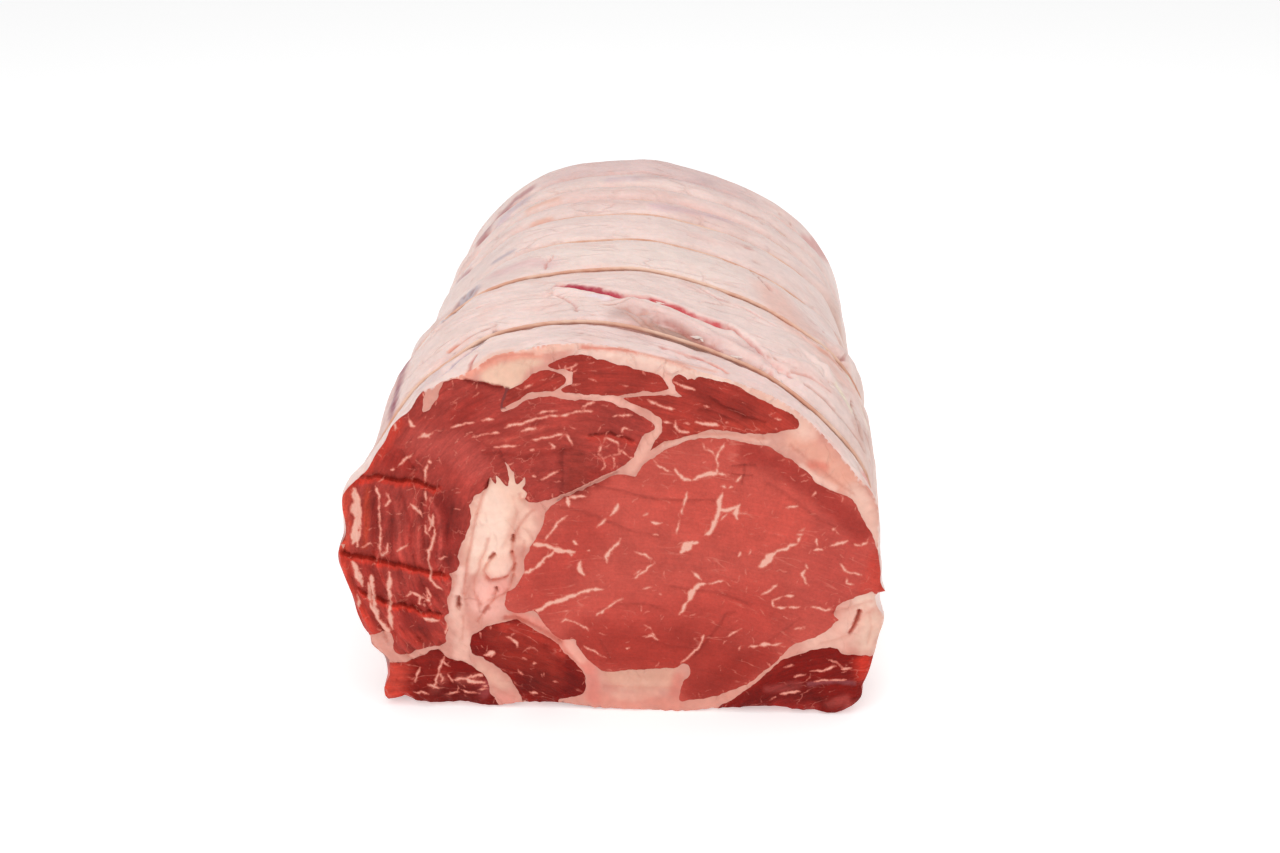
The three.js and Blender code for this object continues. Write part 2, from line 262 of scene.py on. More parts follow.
OUTLINES = {
    "eye_muscle": [
        (-19.5, 86.8), (-21.5, 84.8), (-23.8, 82.3), (-24.5, 79.5), (-25, 77), (-26.5, 73.5),
        (-28.2, 71), (-29.5, 68.5), (-30, 66.5), (-31.5, 64), (-31.8, 60.5), (-32, 58),
        (-33.8, 54.5), (-35, 52.5), (-37.5, 50.5), (-39, 49), (-39.8, 46), (-39.6, 42.8),
        (-38.3, 41.3), (-36.5, 41), (-33.5, 40.7), (-30, 41.6), (-28, 41), (-26.3, 37.5),
        (-24.5, 35.5), (-22.6, 32.8), (-20.8, 31), (-17.5, 29.3), (-14.3, 29.8), (-13, 29.3),
        (-13, 27.7), (-11, 25.3), (-9.3, 22.8), (-7, 20), (-4.3, 18), (-1.8, 16.6), (4.3, 17),
        (9.3, 17.5), (13, 17.9), (16.2, 18.4), (20, 18.5), (25.2, 18.7), (27.2, 20.2), (29, 20.5),
        (30.5, 18.5), (30, 15.6), (28, 12.7), (26.8, 8.5), (26.7, 4.6), (29.3, 4.5), (32.6, 5),
        (35.8, 5.7), (40.2, 6.8), (44, 8.2), (47.2, 9.7), (50.3, 11), (53.4, 13), (55.8, 14.8),
        (57.7, 17.3), (60.7, 19.8), (63, 22), (64.8, 24), (66.6, 26.5), (68.3, 28.6), (70.2, 29.7),
        (73.2, 30.8), (76.3, 32.2), (79.4, 34), (81.2, 35.2), (83.5, 37.3), (85, 39.5), (86.3, 41),
        (84.6, 42.8), (84.8, 44.2), (85.7, 46.3), (87.5, 47.8), (91.3, 49.8), (95, 51.3),
        (98.2, 52.3), (100, 51), (104.5, 50.5), (107, 56), (105, 63), (101.5, 67.5), (99.4, 69.5),
        (98.2, 72.8), (96.9, 76), (95.6, 78.8), (94.3, 81), (92.8, 83.2), (92, 86), (90.8, 88),
        (89.5, 90), (87.6, 91), (84.5, 92.3), (81.5, 93.2), (79.1, 94.7), (76.6, 96.2),
        (74.1, 98.4), (72.2, 100.5), (69.8, 102.4), (67.4, 104.5), (64.4, 106.5), (61.3, 108.4),
        (58.9, 109.8), (55.9, 110.6), (52.2, 111.2), (47.4, 112), (43.8, 112.7), (40.2, 113.1),
        (36.7, 113.2), (32.5, 112.7), (28.2, 111.6), (24.6, 110.2), (21, 108.4), (17.3, 106),
        (15, 104.3), (13, 102.8), (11, 99.8), (9.7, 97.6), (6.5, 98.1), (3, 98), (-2, 95.9),
        (-8, 92.8), (-14, 89.8)],
    "cap_muscle": [
        (-21.8, 140.1), (-20.2, 141.5), (-17.8, 143), (-14.2, 144.2), (-11, 144.5), (-7.5, 144.3),
        (-3.8, 143.1), (0.3, 141.9), (3.8, 141), (8, 140.1), (10.5, 139.2), (14, 138.6), (17, 138),
        (19, 136.6), (20.7, 134.7), (21.7, 132.6), (21, 131.5), (16.5, 130.8), (11.8, 130.7),
        (8, 130), (3.3, 129.2), (-1.5, 129.1), (-7.6, 129), (-11.2, 129.3), (-15.6, 129.9),
        (-17, 131), (-15.8, 131.8), (-13.2, 132.9), (-13.4, 135), (-12.4, 137.6), (-13.8, 138),
        (-16, 139), (-18.4, 138.6), (-20.2, 138.9)],
    "cap_muscle_tip": [
        (-27.2, 137.2), (-24.3, 138.4), (-21.7, 138.3), (-17.4, 137.3), (-15.4, 136.2),
        (-15.1, 134.6), (-15.9, 133.3), (-18, 131.6), (-20.4, 130.4), (-24, 130.3), (-27.5, 129.8),
        (-30, 128.8), (-33, 126.7), (-36, 124.7), (-38.4, 123.6), (-38.4, 125.6), (-37.4, 127.9),
        (-36.4, 130.4), (-34.4, 131.7), (-31.2, 134)],
    "cap_muscle_side": [
        (23.3, 136), (25.3, 137.6), (27.5, 136.9), (28.4, 135.7), (30, 136.3), (31.2, 135.6),
        (32.6, 136.8), (36.3, 136.2), (40, 135.2), (43.7, 134.3), (47.2, 132.9), (49.7, 131.4),
        (52.8, 129.8), (55.7, 128.3), (58.2, 127), (61, 125.5), (64.2, 124), (66.8, 122.6),
        (68.5, 121), (69.1, 119.2), (68.6, 117.3), (66.8, 116.5), (63.8, 116.4), (60.8, 115.6),
        (56, 115.2), (50, 115.4), (44, 116.1), (39, 116.3), (35, 115.7), (32, 114.6),
        (28.3, 113.6), (24.8, 112.7), (21, 111.5), (17.7, 109.6), (15.4, 107.7), (16.4, 110),
        (17.5, 112.2), (19.2, 114.8), (19.5, 118.7), (18.5, 120.7), (15.5, 123), (10.8, 125.2),
        (7, 126.5), (5.8, 127.8), (10.5, 128.8), (16.6, 129.2), (20.8, 129.6), (23.8, 129.3),
        (26.7, 128.6), (25, 130.8), (24, 133), (22.8, 134.6)],
    "lip_muscle": [
        (-60.4, 131.8), (-60, 133), (-57, 133.9), (-53, 134.3), (-50, 133.9), (-46, 133.2),
        (-42, 132.2), (-39, 131.8), (-37.4, 131), (-38.3, 128), (-39.3, 125.6), (-39.3, 123.4),
        (-38.3, 122.2), (-35, 123.3), (-32, 125.5), (-29, 127.3), (-24, 128.4), (-19.7, 128.3),
        (-16.7, 127.4), (-12.5, 126.8), (-8.2, 127), (-4, 126.9), (-0.3, 126.8), (2.2, 126),
        (3.6, 124.9), (7, 123.8), (10.5, 122.2), (14.2, 119.8), (16.5, 117.5), (16.7, 116),
        (15.4, 114.8), (13, 114), (11.8, 112.3), (10.5, 109.7), (9.6, 107), (9.3, 105.2),
        (8, 103.8), (5.6, 101.8), (3, 99.8), (-2, 97.4), (-5, 96), (-9.7, 93.5), (-16.5, 90),
        (-20.5, 88.2), (-24.5, 87), (-28.8, 86.2), (-31.2, 87.3), (-30.3, 90), (-32.3, 92.3),
        (-31, 93.9), (-31.4, 96), (-32.7, 94.3), (-34.6, 93.3), (-35.2, 98.2), (-38.4, 102),
        (-37, 98), (-37.4, 92.8), (-39.5, 94), (-41.5, 96.5), (-41.9, 93.3), (-44, 95.7),
        (-45, 92.2), (-47.5, 90), (-50, 88.4), (-51, 86), (-52.3, 84.3), (-51.6, 82.3),
        (-51.6, 78.5), (-53, 74), (-54.3, 70.5), (-55.4, 68.5), (-57, 64.5), (-56.4, 61.8),
        (-57.6, 57.8), (-60.8, 56), (-59.7, 53.5), (-59.8, 50), (-61.3, 46.7), (-61.5, 42),
        (-61.2, 39.8), (-63, 38.3), (-61.2, 33.6), (-62.5, 31), (-62.9, 27), (-66.3, 26),
        (-71.5, 25.4), (-74, 24.2), (-75.8, 22.8), (-78.7, 22), (-82.3, 22.7), (-83.2, 25.5),
        (-82.8, 29), (-84.5, 31.5), (-88.5, 31), (-93, 30), (-99, 30), (-108, 45), (-110, 65),
        (-108, 90), (-98, 101), (-90, 111), (-84, 120), (-78, 119.5), (-74.5, 120), (-72.6, 122),
        (-71, 125), (-69.8, 128), (-67.6, 129.2), (-67, 127.5), (-67.8, 124), (-68.3, 121.6),
        (-66.5, 121.8), (-64.6, 123.4), (-63.3, 125.6), (-62, 128), (-61.8, 130.3)],
    "rib_muscle_left": [
        (-84.4, 18), (-80.8, 18.3), (-75.5, 20.2), (-71.5, 22.3), (-68.3, 24.2), (-66, 24.4),
        (-64, 22.6), (-61.3, 20.3), (-57, 19.3), (-54.5, 18.4), (-52, 16.6), (-49.5, 14.5),
        (-47.3, 11.6), (-46.6, 7.5), (-46.5, -4), (-92, -4), (-95, 5), (-91, 14), (-88, 18.5)],
    "rib_muscle_middle": [
        (-52.6, 30.6), (-51.3, 31.6), (-49, 33), (-46.8, 34.6), (-43.8, 35.8), (-40.8, 36.5),
        (-38.5, 37.4), (-36.7, 37.9), (-34.8, 37.2), (-32.3, 35.9), (-29.8, 34.4), (-27.3, 33),
        (-24.8, 31.4), (-22.3, 29.5), (-19.8, 27.2), (-17.8, 24.3), (-15.3, 21.5), (-12.8, 19.2),
        (-11.2, 16.7), (-10, 14.3), (-9.5, 12.2), (-9.5, 9.3), (-10.4, 6.6), (-12.8, 5.6),
        (-16.7, 4.3), (-20, 3.4), (-22, -4), (-33, -4), (-34.4, 3.6), (-35.2, 6.4), (-36.3, 9),
        (-38, 11.7), (-39.4, 14.2), (-41.2, 15.5), (-43.3, 17.3), (-46.3, 19.8), (-49.2, 21.5),
        (-51.5, 21.9), (-52.7, 23), (-53.2, 25), (-53.5, 27), (-53.2, 29)],
    "rib_muscle_right": [
        (39, -4), (41.5, 2.2), (45, 4.2), (47.7, 6.2), (50.8, 8.8), (53.4, 11), (55.8, 13.2),
        (58.4, 15.8), (60.7, 18.3), (63.7, 21.2), (66.2, 23), (69.8, 24.5), (73.5, 26),
        (77.8, 27.4), (81.7, 28.6), (84.3, 28.6), (86.6, 28), (87.5, 26.8), (89.9, 25.9),
        (94.8, 25.7), (98, 25.3), (102, 25), (107, 24), (105, 5), (92, -5)],
}

OUTLINE_STEP = 0.7
FRAY = 0.4  # how far a cut edge wanders from its drawn line


def upright(points, y=0.0):
    """Places (x, y, z) of the points (x, z) of a cut at this y."""
    return np.stack([points[..., 0], np.broadcast_to(y, points.shape[:-1]), points[..., 1]], -1)


LATTICE_TURN = np.array([[0.36, 0.48, -0.8], [-0.8, 0.6, 0], [0.48, 0.64, 0.6]])


def grain(points, size, seed):
    """Smooth noise from -1 to 1. Each corner of a turned box lattice of this size gets a value
    from its scrambled numbers, and a point blends its eight corners by the smooth steps of its
    place in the box."""
    q = np.asarray(points, float) / size @ LATTICE_TURN
    cell = np.floor(q).astype(np.int64)
    t = q - cell
    t = t * t * (3 - 2 * t)
    total = np.zeros(q.shape[:-1])
    for corner in range(8):
        step = np.array([corner & 1, corner >> 1 & 1, corner >> 2 & 1])
        key = ((cell + step) * np.array([73856093, 19349663, 83492791])).sum(-1) + seed * 7919
        key = (key ^ (key >> 13)) * 1274126177 & 0xFFFFFFFF
        key = (key ^ (key >> 15)) * 2246822519 & 0xFFFFFFFF
        value = ((key ^ (key >> 16)) & 0xFFFF) / 32767.5 - 1
        total += value * np.prod(np.where(step, t, 1 - t), axis=-1)
    return total


def cut_outline(points, seed):
    """A drawn outline as the knife shows it: the smooth loop in even short steps, each of its
    points pushed about by noise of two sizes."""
    p = np.array(points, float)
    steps = np.linalg.norm(np.roll(p, -1, 0) - p, axis=1) / OUTLINE_STEP
    loop = smooth_loop(p, np.maximum(2, np.round(steps)).astype(int))
    at = upright(loop, seed * 31.7)
    push = [FRAY * (grain(at, 2.4, seed + k) + 0.6 * grain(at, 1.1, seed + 50 + k))
            for k in (1, 2)]
    return loop + np.stack(push, -1)


outlines = {name: cut_outline(points, 3 + i) for i, (name, points) in enumerate(OUTLINES.items())}
rim = ring_at([FRONT])[0][0]


def loop_edges(count):
    """Pairs of neighbouring numbers round a closed loop."""
    return np.stack([np.arange(count), np.roll(np.arange(count), -1)], -1)


def inside(points, ends):
    """Whether each point is inside the figure whose edges are `ends` (edges, 2, 2): a ray to the
    right from the point crosses an odd number of them."""
    crossings = np.zeros(len(points), int)
    for start in range(0, len(ends), 200):
        a, b = ends[start:start + 200, 0], ends[start:start + 200, 1]
        px, pz = points[:, 0:1], points[:, 1:2]
        spans_row = (a[:, 1] > pz) != (b[:, 1] > pz)
        rise = np.where(b[:, 1] == a[:, 1], 1, b[:, 1] - a[:, 1])
        at = a[:, 0] + (pz - a[:, 1]) / rise * (b[:, 0] - a[:, 0])
        crossings += (spans_row & (px < at)).sum(1)
    return crossings % 2 == 1


def gap_to(points, marks, reach):
    """Distance from each point to the nearest of many marks, at most `reach`. Works by columns of
    points, so that each looks only at the marks near its own column."""
    gap = np.full(len(points), float(reach))
    if not len(points):
        return gap
    wide = 6
    for low in np.arange(points[:, 0].min(), points[:, 0].max() + wide, wide):
        here = np.flatnonzero((points[:, 0] >= low) & (points[:, 0] < low + wide))
        near = marks[(marks[:, 0] > low - reach) & (marks[:, 0] < low + wide + reach)]
        if len(here) and len(near):
            away = ((points[here, None] - near[None]) ** 2).sum(-1).min(1)
            gap[here] = np.minimum(reach, np.sqrt(away))
    return gap


def line_gap(points, line, reach):
    """Distance from each point to an open line through the given corners, at most `reach`."""
    line = np.asarray(line, float)
    gap = np.full(len(points), float(reach))
    low, high = line.min(0) - reach, line.max(0) + reach
    near = np.flatnonzero(((points > low) & (points < high)).all(1))
    p = points[near]
    for a, b in zip(line[:-1], line[1:]):
        t = np.clip((p - a) @ (b - a) / max((b - a) @ (b - a), 1e-9), 0, 1)
        gap[near] = np.minimum(gap[near], np.linalg.norm(p - a - t[:, None] * (b - a), axis=1))
    return gap


# Four steps that the knife left where it was set again: three in the left block of the lip and a
# short low one in its middle, drawn left to right.
KNIFE_STEPS = [
    [(-96, 94), (-91, 95.5), (-86, 96.3), (-81, 95), (-79, 94), (-74, 94.5), (-69.5, 94),
     (-66, 92.4), (-63, 92)],
    [(-101, 64.5), (-97, 63.5), (-92, 62.8), (-88.5, 61.6), (-80, 60.3), (-74.7, 59),
     (-69.7, 57.8), (-66, 56.8), (-62, 56.4)],
    [(-95, 49.5), (-90, 47), (-86.5, 45), (-82, 43.8), (-78, 43.6), (-74.5, 41.7), (-70.8, 40.4),
     (-67, 39.8), (-64.5, 38.8)],
    [(-7, 113.2), (-4.8, 113.5), (0, 113.7), (4.3, 113.3), (9, 112)]]
STEP_SINK = [0.8, 1.0, 0.8, 0.5]
STEP_STAND = [1.1, 1.2, 1.0, 0.4]


def torn(line, step, amount, seed):
    """The line at even steps along x, with its height shaken by noise of two sizes."""
    line = np.array(line, float)
    x = np.arange(line[0, 0], line[-1, 0] + step, step)
    at = np.stack([x, np.full(len(x), seed * 17.3), 0 * x], -1)
    z = np.interp(x, line[:, 0], line[:, 1])
    return np.stack([x, z + amount * (grain(at, 3.1, seed) + 0.6 * grain(at, 1.2, seed + 1))], -1)


knife_lines = [torn(line, 0.4, 0.75, 61 + i) for i, line in enumerate(KNIFE_STEPS)]

# Cracks and creases of the cut face: depth, half width, and their line.
FLAP_CREASE = [(-46.3, 139.7), (-40.1, 143), (-33.5, 144.2), (-27, 144.6)]
RIGHT_GASH = [(93.9, 44.5), (93.2, 41.5), (92.3, 39), (90.6, 35.4)]
CREASES = [
    (0.7, 0.6, [(36.5, 129.5), (39, 127.6), (42, 125.2), (45.4, 124.4), (50, 121.8), (53.3, 120.9),
                (57, 119.6)]),
    (0.5, 0.5, [(33, 124.6), (38, 123.6), (43, 121.4), (47, 119.8)]),
    (0.8, 0.6, [(-52, 133.9), (-48.4, 132.9), (-45, 132.7), (-41.6, 131.4), (-38.6, 131.4)]),
    (0.7, 0.6, [(-20, 87.7), (-14, 90.4), (-8, 93.4), (-2, 96.7), (3, 98.9)]),
    (0.8, 0.6, [(-40, 38.6), (-36, 38.8), (-31, 36.7), (-26, 33.8), (-22, 31), (-19, 28.6)]),
    (0.5, 0.6, [(-19, 28.6), (-16.6, 24.4), (-13, 20)]),
    (0.9, 0.55, [(-44.2, 94.9), (-46.4, 90.3), (-48.4, 84.2), (-50.2, 78), (-51.9, 68.8),
                 (-53.4, 61.6), (-54.5, 54.3), (-55.5, 48)]),
    (0.7, 0.5, [(-45, 72), (-46.4, 66.3), (-48.4, 62.7), (-48.9, 59.1), (-50.9, 54.9),
                (-51.3, 50.2), (-50, 46), (-48.9, 43.9)]),
    (1.0, 0.5, [(-42.9, 64.9), (-44.3, 63.6), (-46, 61.2), (-47.3, 58.6), (-46.2, 56), (-45, 54.5),
                (-41.2, 55.6), (-38.4, 56.7), (-36.5, 58.8), (-35.5, 61.4), (-35.8, 64),
                (-36.5, 66)]),
    (0.8, 0.5, [(-36.5, 66), (-36, 70.2), (-35.6, 72.7), (-33.4, 77.3), (-31.3, 80.4),
                (-28, 83.5)]),
    (0.9, 0.5, [(-35.5, 61.4), (-36.5, 55.2), (-37.6, 51.5), (-40, 48.6), (-42.8, 47.7),
                (-45.3, 44.5), (-47.8, 41.1), (-50.3, 37)]),
    (1.6, 0.5, [(-42.5, 52), (-42.4, 51), (-43.5, 48.5)]),
    (1.6, 0.5, [(-57.1, 46.9), (-57.4, 44.8), (-57.2, 42.5)]),
    (1.2, 0.5, [(-43, 65.4), (-44.8, 63.6)]), (1.2, 0.5, [(-35.8, 73.4), (-35.9, 71)]),
    (0.35, 0.6, [(-35.3, 88.9), (-34, 82.4), (-37.3, 73.2), (-40, 68)]),
    (0.7, 0.5, [(-32.9, 90), (-33, 88), (-31.2, 87.1)]),
    (0.5, 0.5, [(-31.9, 71.3), (-31.8, 68.2), (-32.4, 64.7)]),
    (0.5, 0.5, [(-52.9, 51.7), (-55.2, 47), (-54.1, 43.8)]),
    (0.5, 0.5, [(-55.7, 39.2), (-55.6, 34.9), (-56.5, 29)]), (2.2, 0.5, RIGHT_GASH),
    (0.5, 0.5, [(84, 43.6), (88, 45.2), (92, 46.6), (98, 48.6)]),
    (0.4, 0.5, [(80, 30.6), (86, 32.4), (90.6, 34.8)]),
    (0.4, 0.5, [(97.6, 44), (98.6, 38), (97.4, 31)]), (0.4, 0.6, [(99, 45.3), (95, 43), (93, 40)]),
    (0.5, 0.7, [(-45.2, 8.6), (-42.6, 7.2), (-39.5, 5.4), (-36.5, 4.6)]),
    (0.6, 0.8, [(-17.6, 90), (-17, 97), (-17.4, 103), (-16.5, 108)]),
    (0.35, 0.6, [(52, 112.4), (45, 113.9), (36, 114.4), (29, 113)]),
    (0.5, 0.8, [(68, 12), (76, 12.6), (86, 13.8), (95, 13.2)]),
    (0.5, 0.8, [(64, 4.2), (72, 5), (80, 6.6), (83, 3)]),
    (0.4, 0.8, [(-2, 10.2), (8, 10.4), (20, 10.6), (25, 10)]),
    (0.45, 0.7, [(-4.4, 93.6), (4.8, 91.8), (13.3, 89.5), (18.8, 88.8), (29.9, 88.6),
                 (39.1, 88.8)]),
    (0.35, 0.8, [(-18.2, 84.9), (-8.9, 83.1), (0.3, 79.2), (9.6, 75.3), (18.9, 74.3)]),
    (0.5, 0.5, [(45.1, 102.5), (49.1, 102.9), (53.5, 103)]),
    (0.5, 0.5, [(45.5, 99.3), (49.2, 99), (52.5, 99)]),
    (0.5, 0.5, [(49.8, 103.3), (49.6, 99.4), (48.9, 96.2)]),
    (0.45, 0.7, [(32.4, 24.5), (38, 32.3), (41.7, 37.5), (43.5, 41.7), (47.2, 43.1)]),
    (0.35, 0.9, [(57.3, 96.3), (62.9, 93.3), (70.4, 87.4), (77.9, 81.5), (83.5, 78.8)]),
    (0.35, 0.7, [(22.7, 53.4), (30.2, 51.9), (39.6, 51.2), (47.1, 48.9), (52.8, 46.1)]),
    (0.3, 0.7, [(-3.7, 42.8), (3.9, 45.1), (13.3, 45.7), (20.9, 43.3)]),
    (0.3, 0.6, [(15.2, 30.5), (22.8, 28.2), (30.4, 27.5)]),
    (0.3, 0.6, [(-3.8, 30.1), (-1.5, 25.9), (0, 22.5)]),
    (0.3, 0.6, [(60.7, 31.5), (66.2, 35.9), (71.7, 41.1)]),
    (0.6, 0.6, [(-39.9, 106.5), (-39.4, 104.4), (-38.6, 102.6)]),
    (0.5, 0.6, [(-70, 100), (-68.4, 95.5)]), (0.6, 0.6, [(-76.4, 106.4), (-71.5, 98.6)]),
    (0.45, 0.5, FLAP_CREASE),
    (0.5, 0.5, [(-9.4, 147.4), (-2.9, 147), (4.3, 146.6), (11.4, 145.4), (20.4, 142.8),
                (29.4, 139.4)]),
]

# Soft lumps of the thick fat: how far each stands out, its radius and its middle.
LOBES = [
    (1.3, 5.5, (-41.5, 60.4)), (1.1, 7.5, (-41.8, 79.2)), (0.8, 5.0, (-49.1, 70.9)),
    (0.8, 5.0, (-46.5, 50.3)), (0.7, 4.0, (-39.8, 52.5)), (0.9, 6.0, (-31, 76.2)),
    (0.6, 4.0, (-54.6, 62.6)), (0.7, 4.5, (-36.8, 87)), (0.6, 4.0, (-46.1, 86.5)),
    (0.5, 4.0, (-52, 40)), (0.6, 5.0, (8, 6)), (0.6, 5.0, (12, 14)), (0.7, 5.0, (88, 40)),
    (0.7, 3.5, (97, 42))]

# The fibres of a muscle lie in arcs round a far point (x, z).
FIBRE_CENTRES = {
    "eye_muscle": (0, -150), "cap_muscle": (0, 10), "cap_muscle_tip": (18, 42),
    "cap_muscle_side": (3, 35), "lip_muscle": (-15, 68), "rib_muscle_left": (-60, -200),
    "rib_muscle_middle": (-57, -55), "rib_muscle_right": (102, -63)}


def lie_of(name, points):
    """Places of the points along and across the muscle's fibres, in millimetres: the way round the
    far point and the distance from it. The third number is 0."""
    away = points - np.array(FIBRE_CENTRES[name])
    turn = (np.arctan2(away[:, 1], away[:, 0]) + np.pi / 2) % (2 * np.pi)
    return np.stack([60 * turn, np.hypot(away[:, 0], away[:, 1]), 0 * turn], -1)


def strand_noise(x_z):
    """Noise from -1 to 1 in long narrow cells that follow the fibres of the lip."""
    lie = lie_of("lip_muscle", x_z)
    return 0.7 * grain(lie / (8, 1.9, 1), 1, 14) + 0.5 * grain(lie / (5, 0.9, 1), 1, 15)


def in_block(x_z):
    """1 in the left block of the lip, where the strands stand out, and 0 elsewhere."""
    return smooth_step(-x_z[:, 0], 54, 61) * (1 - smooth_step(x_z[:, 1], 91, 97))


EDGE_SINK = 0.5
RIM_ROLL = 1.1
all_edges = np.concatenate(list(outlines.values()))


def cut_relief(x_z):
    """How far the front cut stands out, in millimetres: broad and fine noise, the strands of the
    lip and the lumps of the fat, less a soft valley along every outline and crease and a rounding
    at the rim, with a sawtooth at every knife step."""
    at = upright(x_z)
    relief = 0.45 * grain(at, 17, 11) + 0.16 * grain(at, 5.5, 12) + 0.05 * grain(at, 1.7, 13)
    relief += (0.18 + 1.1 * in_block(x_z)) * strand_noise(x_z)
    for height, radius, (x, z) in LOBES:
        relief += 1.4 * height * np.exp(-(np.hypot(x_z[:, 0] - x, x_z[:, 1] - z) / radius) ** 4)
    relief -= EDGE_SINK * np.exp(-(gap_to(x_z, all_edges, 5) / 1.3) ** 2)
    relief -= RIM_ROLL * np.exp(-(gap_to(x_z, rim, 5) / 1.2) ** 2)
    for depth, half_width, line in CREASES:
        gap = line_gap(x_z, line, 5 * half_width)
        relief -= depth * (1 + 0.4 * grain(at, 3, 16)) * np.exp(-(gap / (1.25 * half_width)) ** 2)
    for line, sink, stand in zip(knife_lines, STEP_SINK, STEP_STAND):
        above = x_z[:, 1] - np.interp(x_z[:, 0], line[:, 0], line[:, 1])
        held = smooth_step(x_z[:, 0], line[0, 0] - 3, line[0, 0] + 1)
        held *= 1 - smooth_step(x_z[:, 0], line[-1, 0] - 2, line[-1, 0] + 2)
        upper = -sink * np.exp(-np.maximum(above, 0) / 6)
        lower = stand * np.exp(np.minimum(above, 0) / 9)
        relief += held * (lower + (upper - lower) * smooth_step(above, -0.25, 0.25))
    return relief


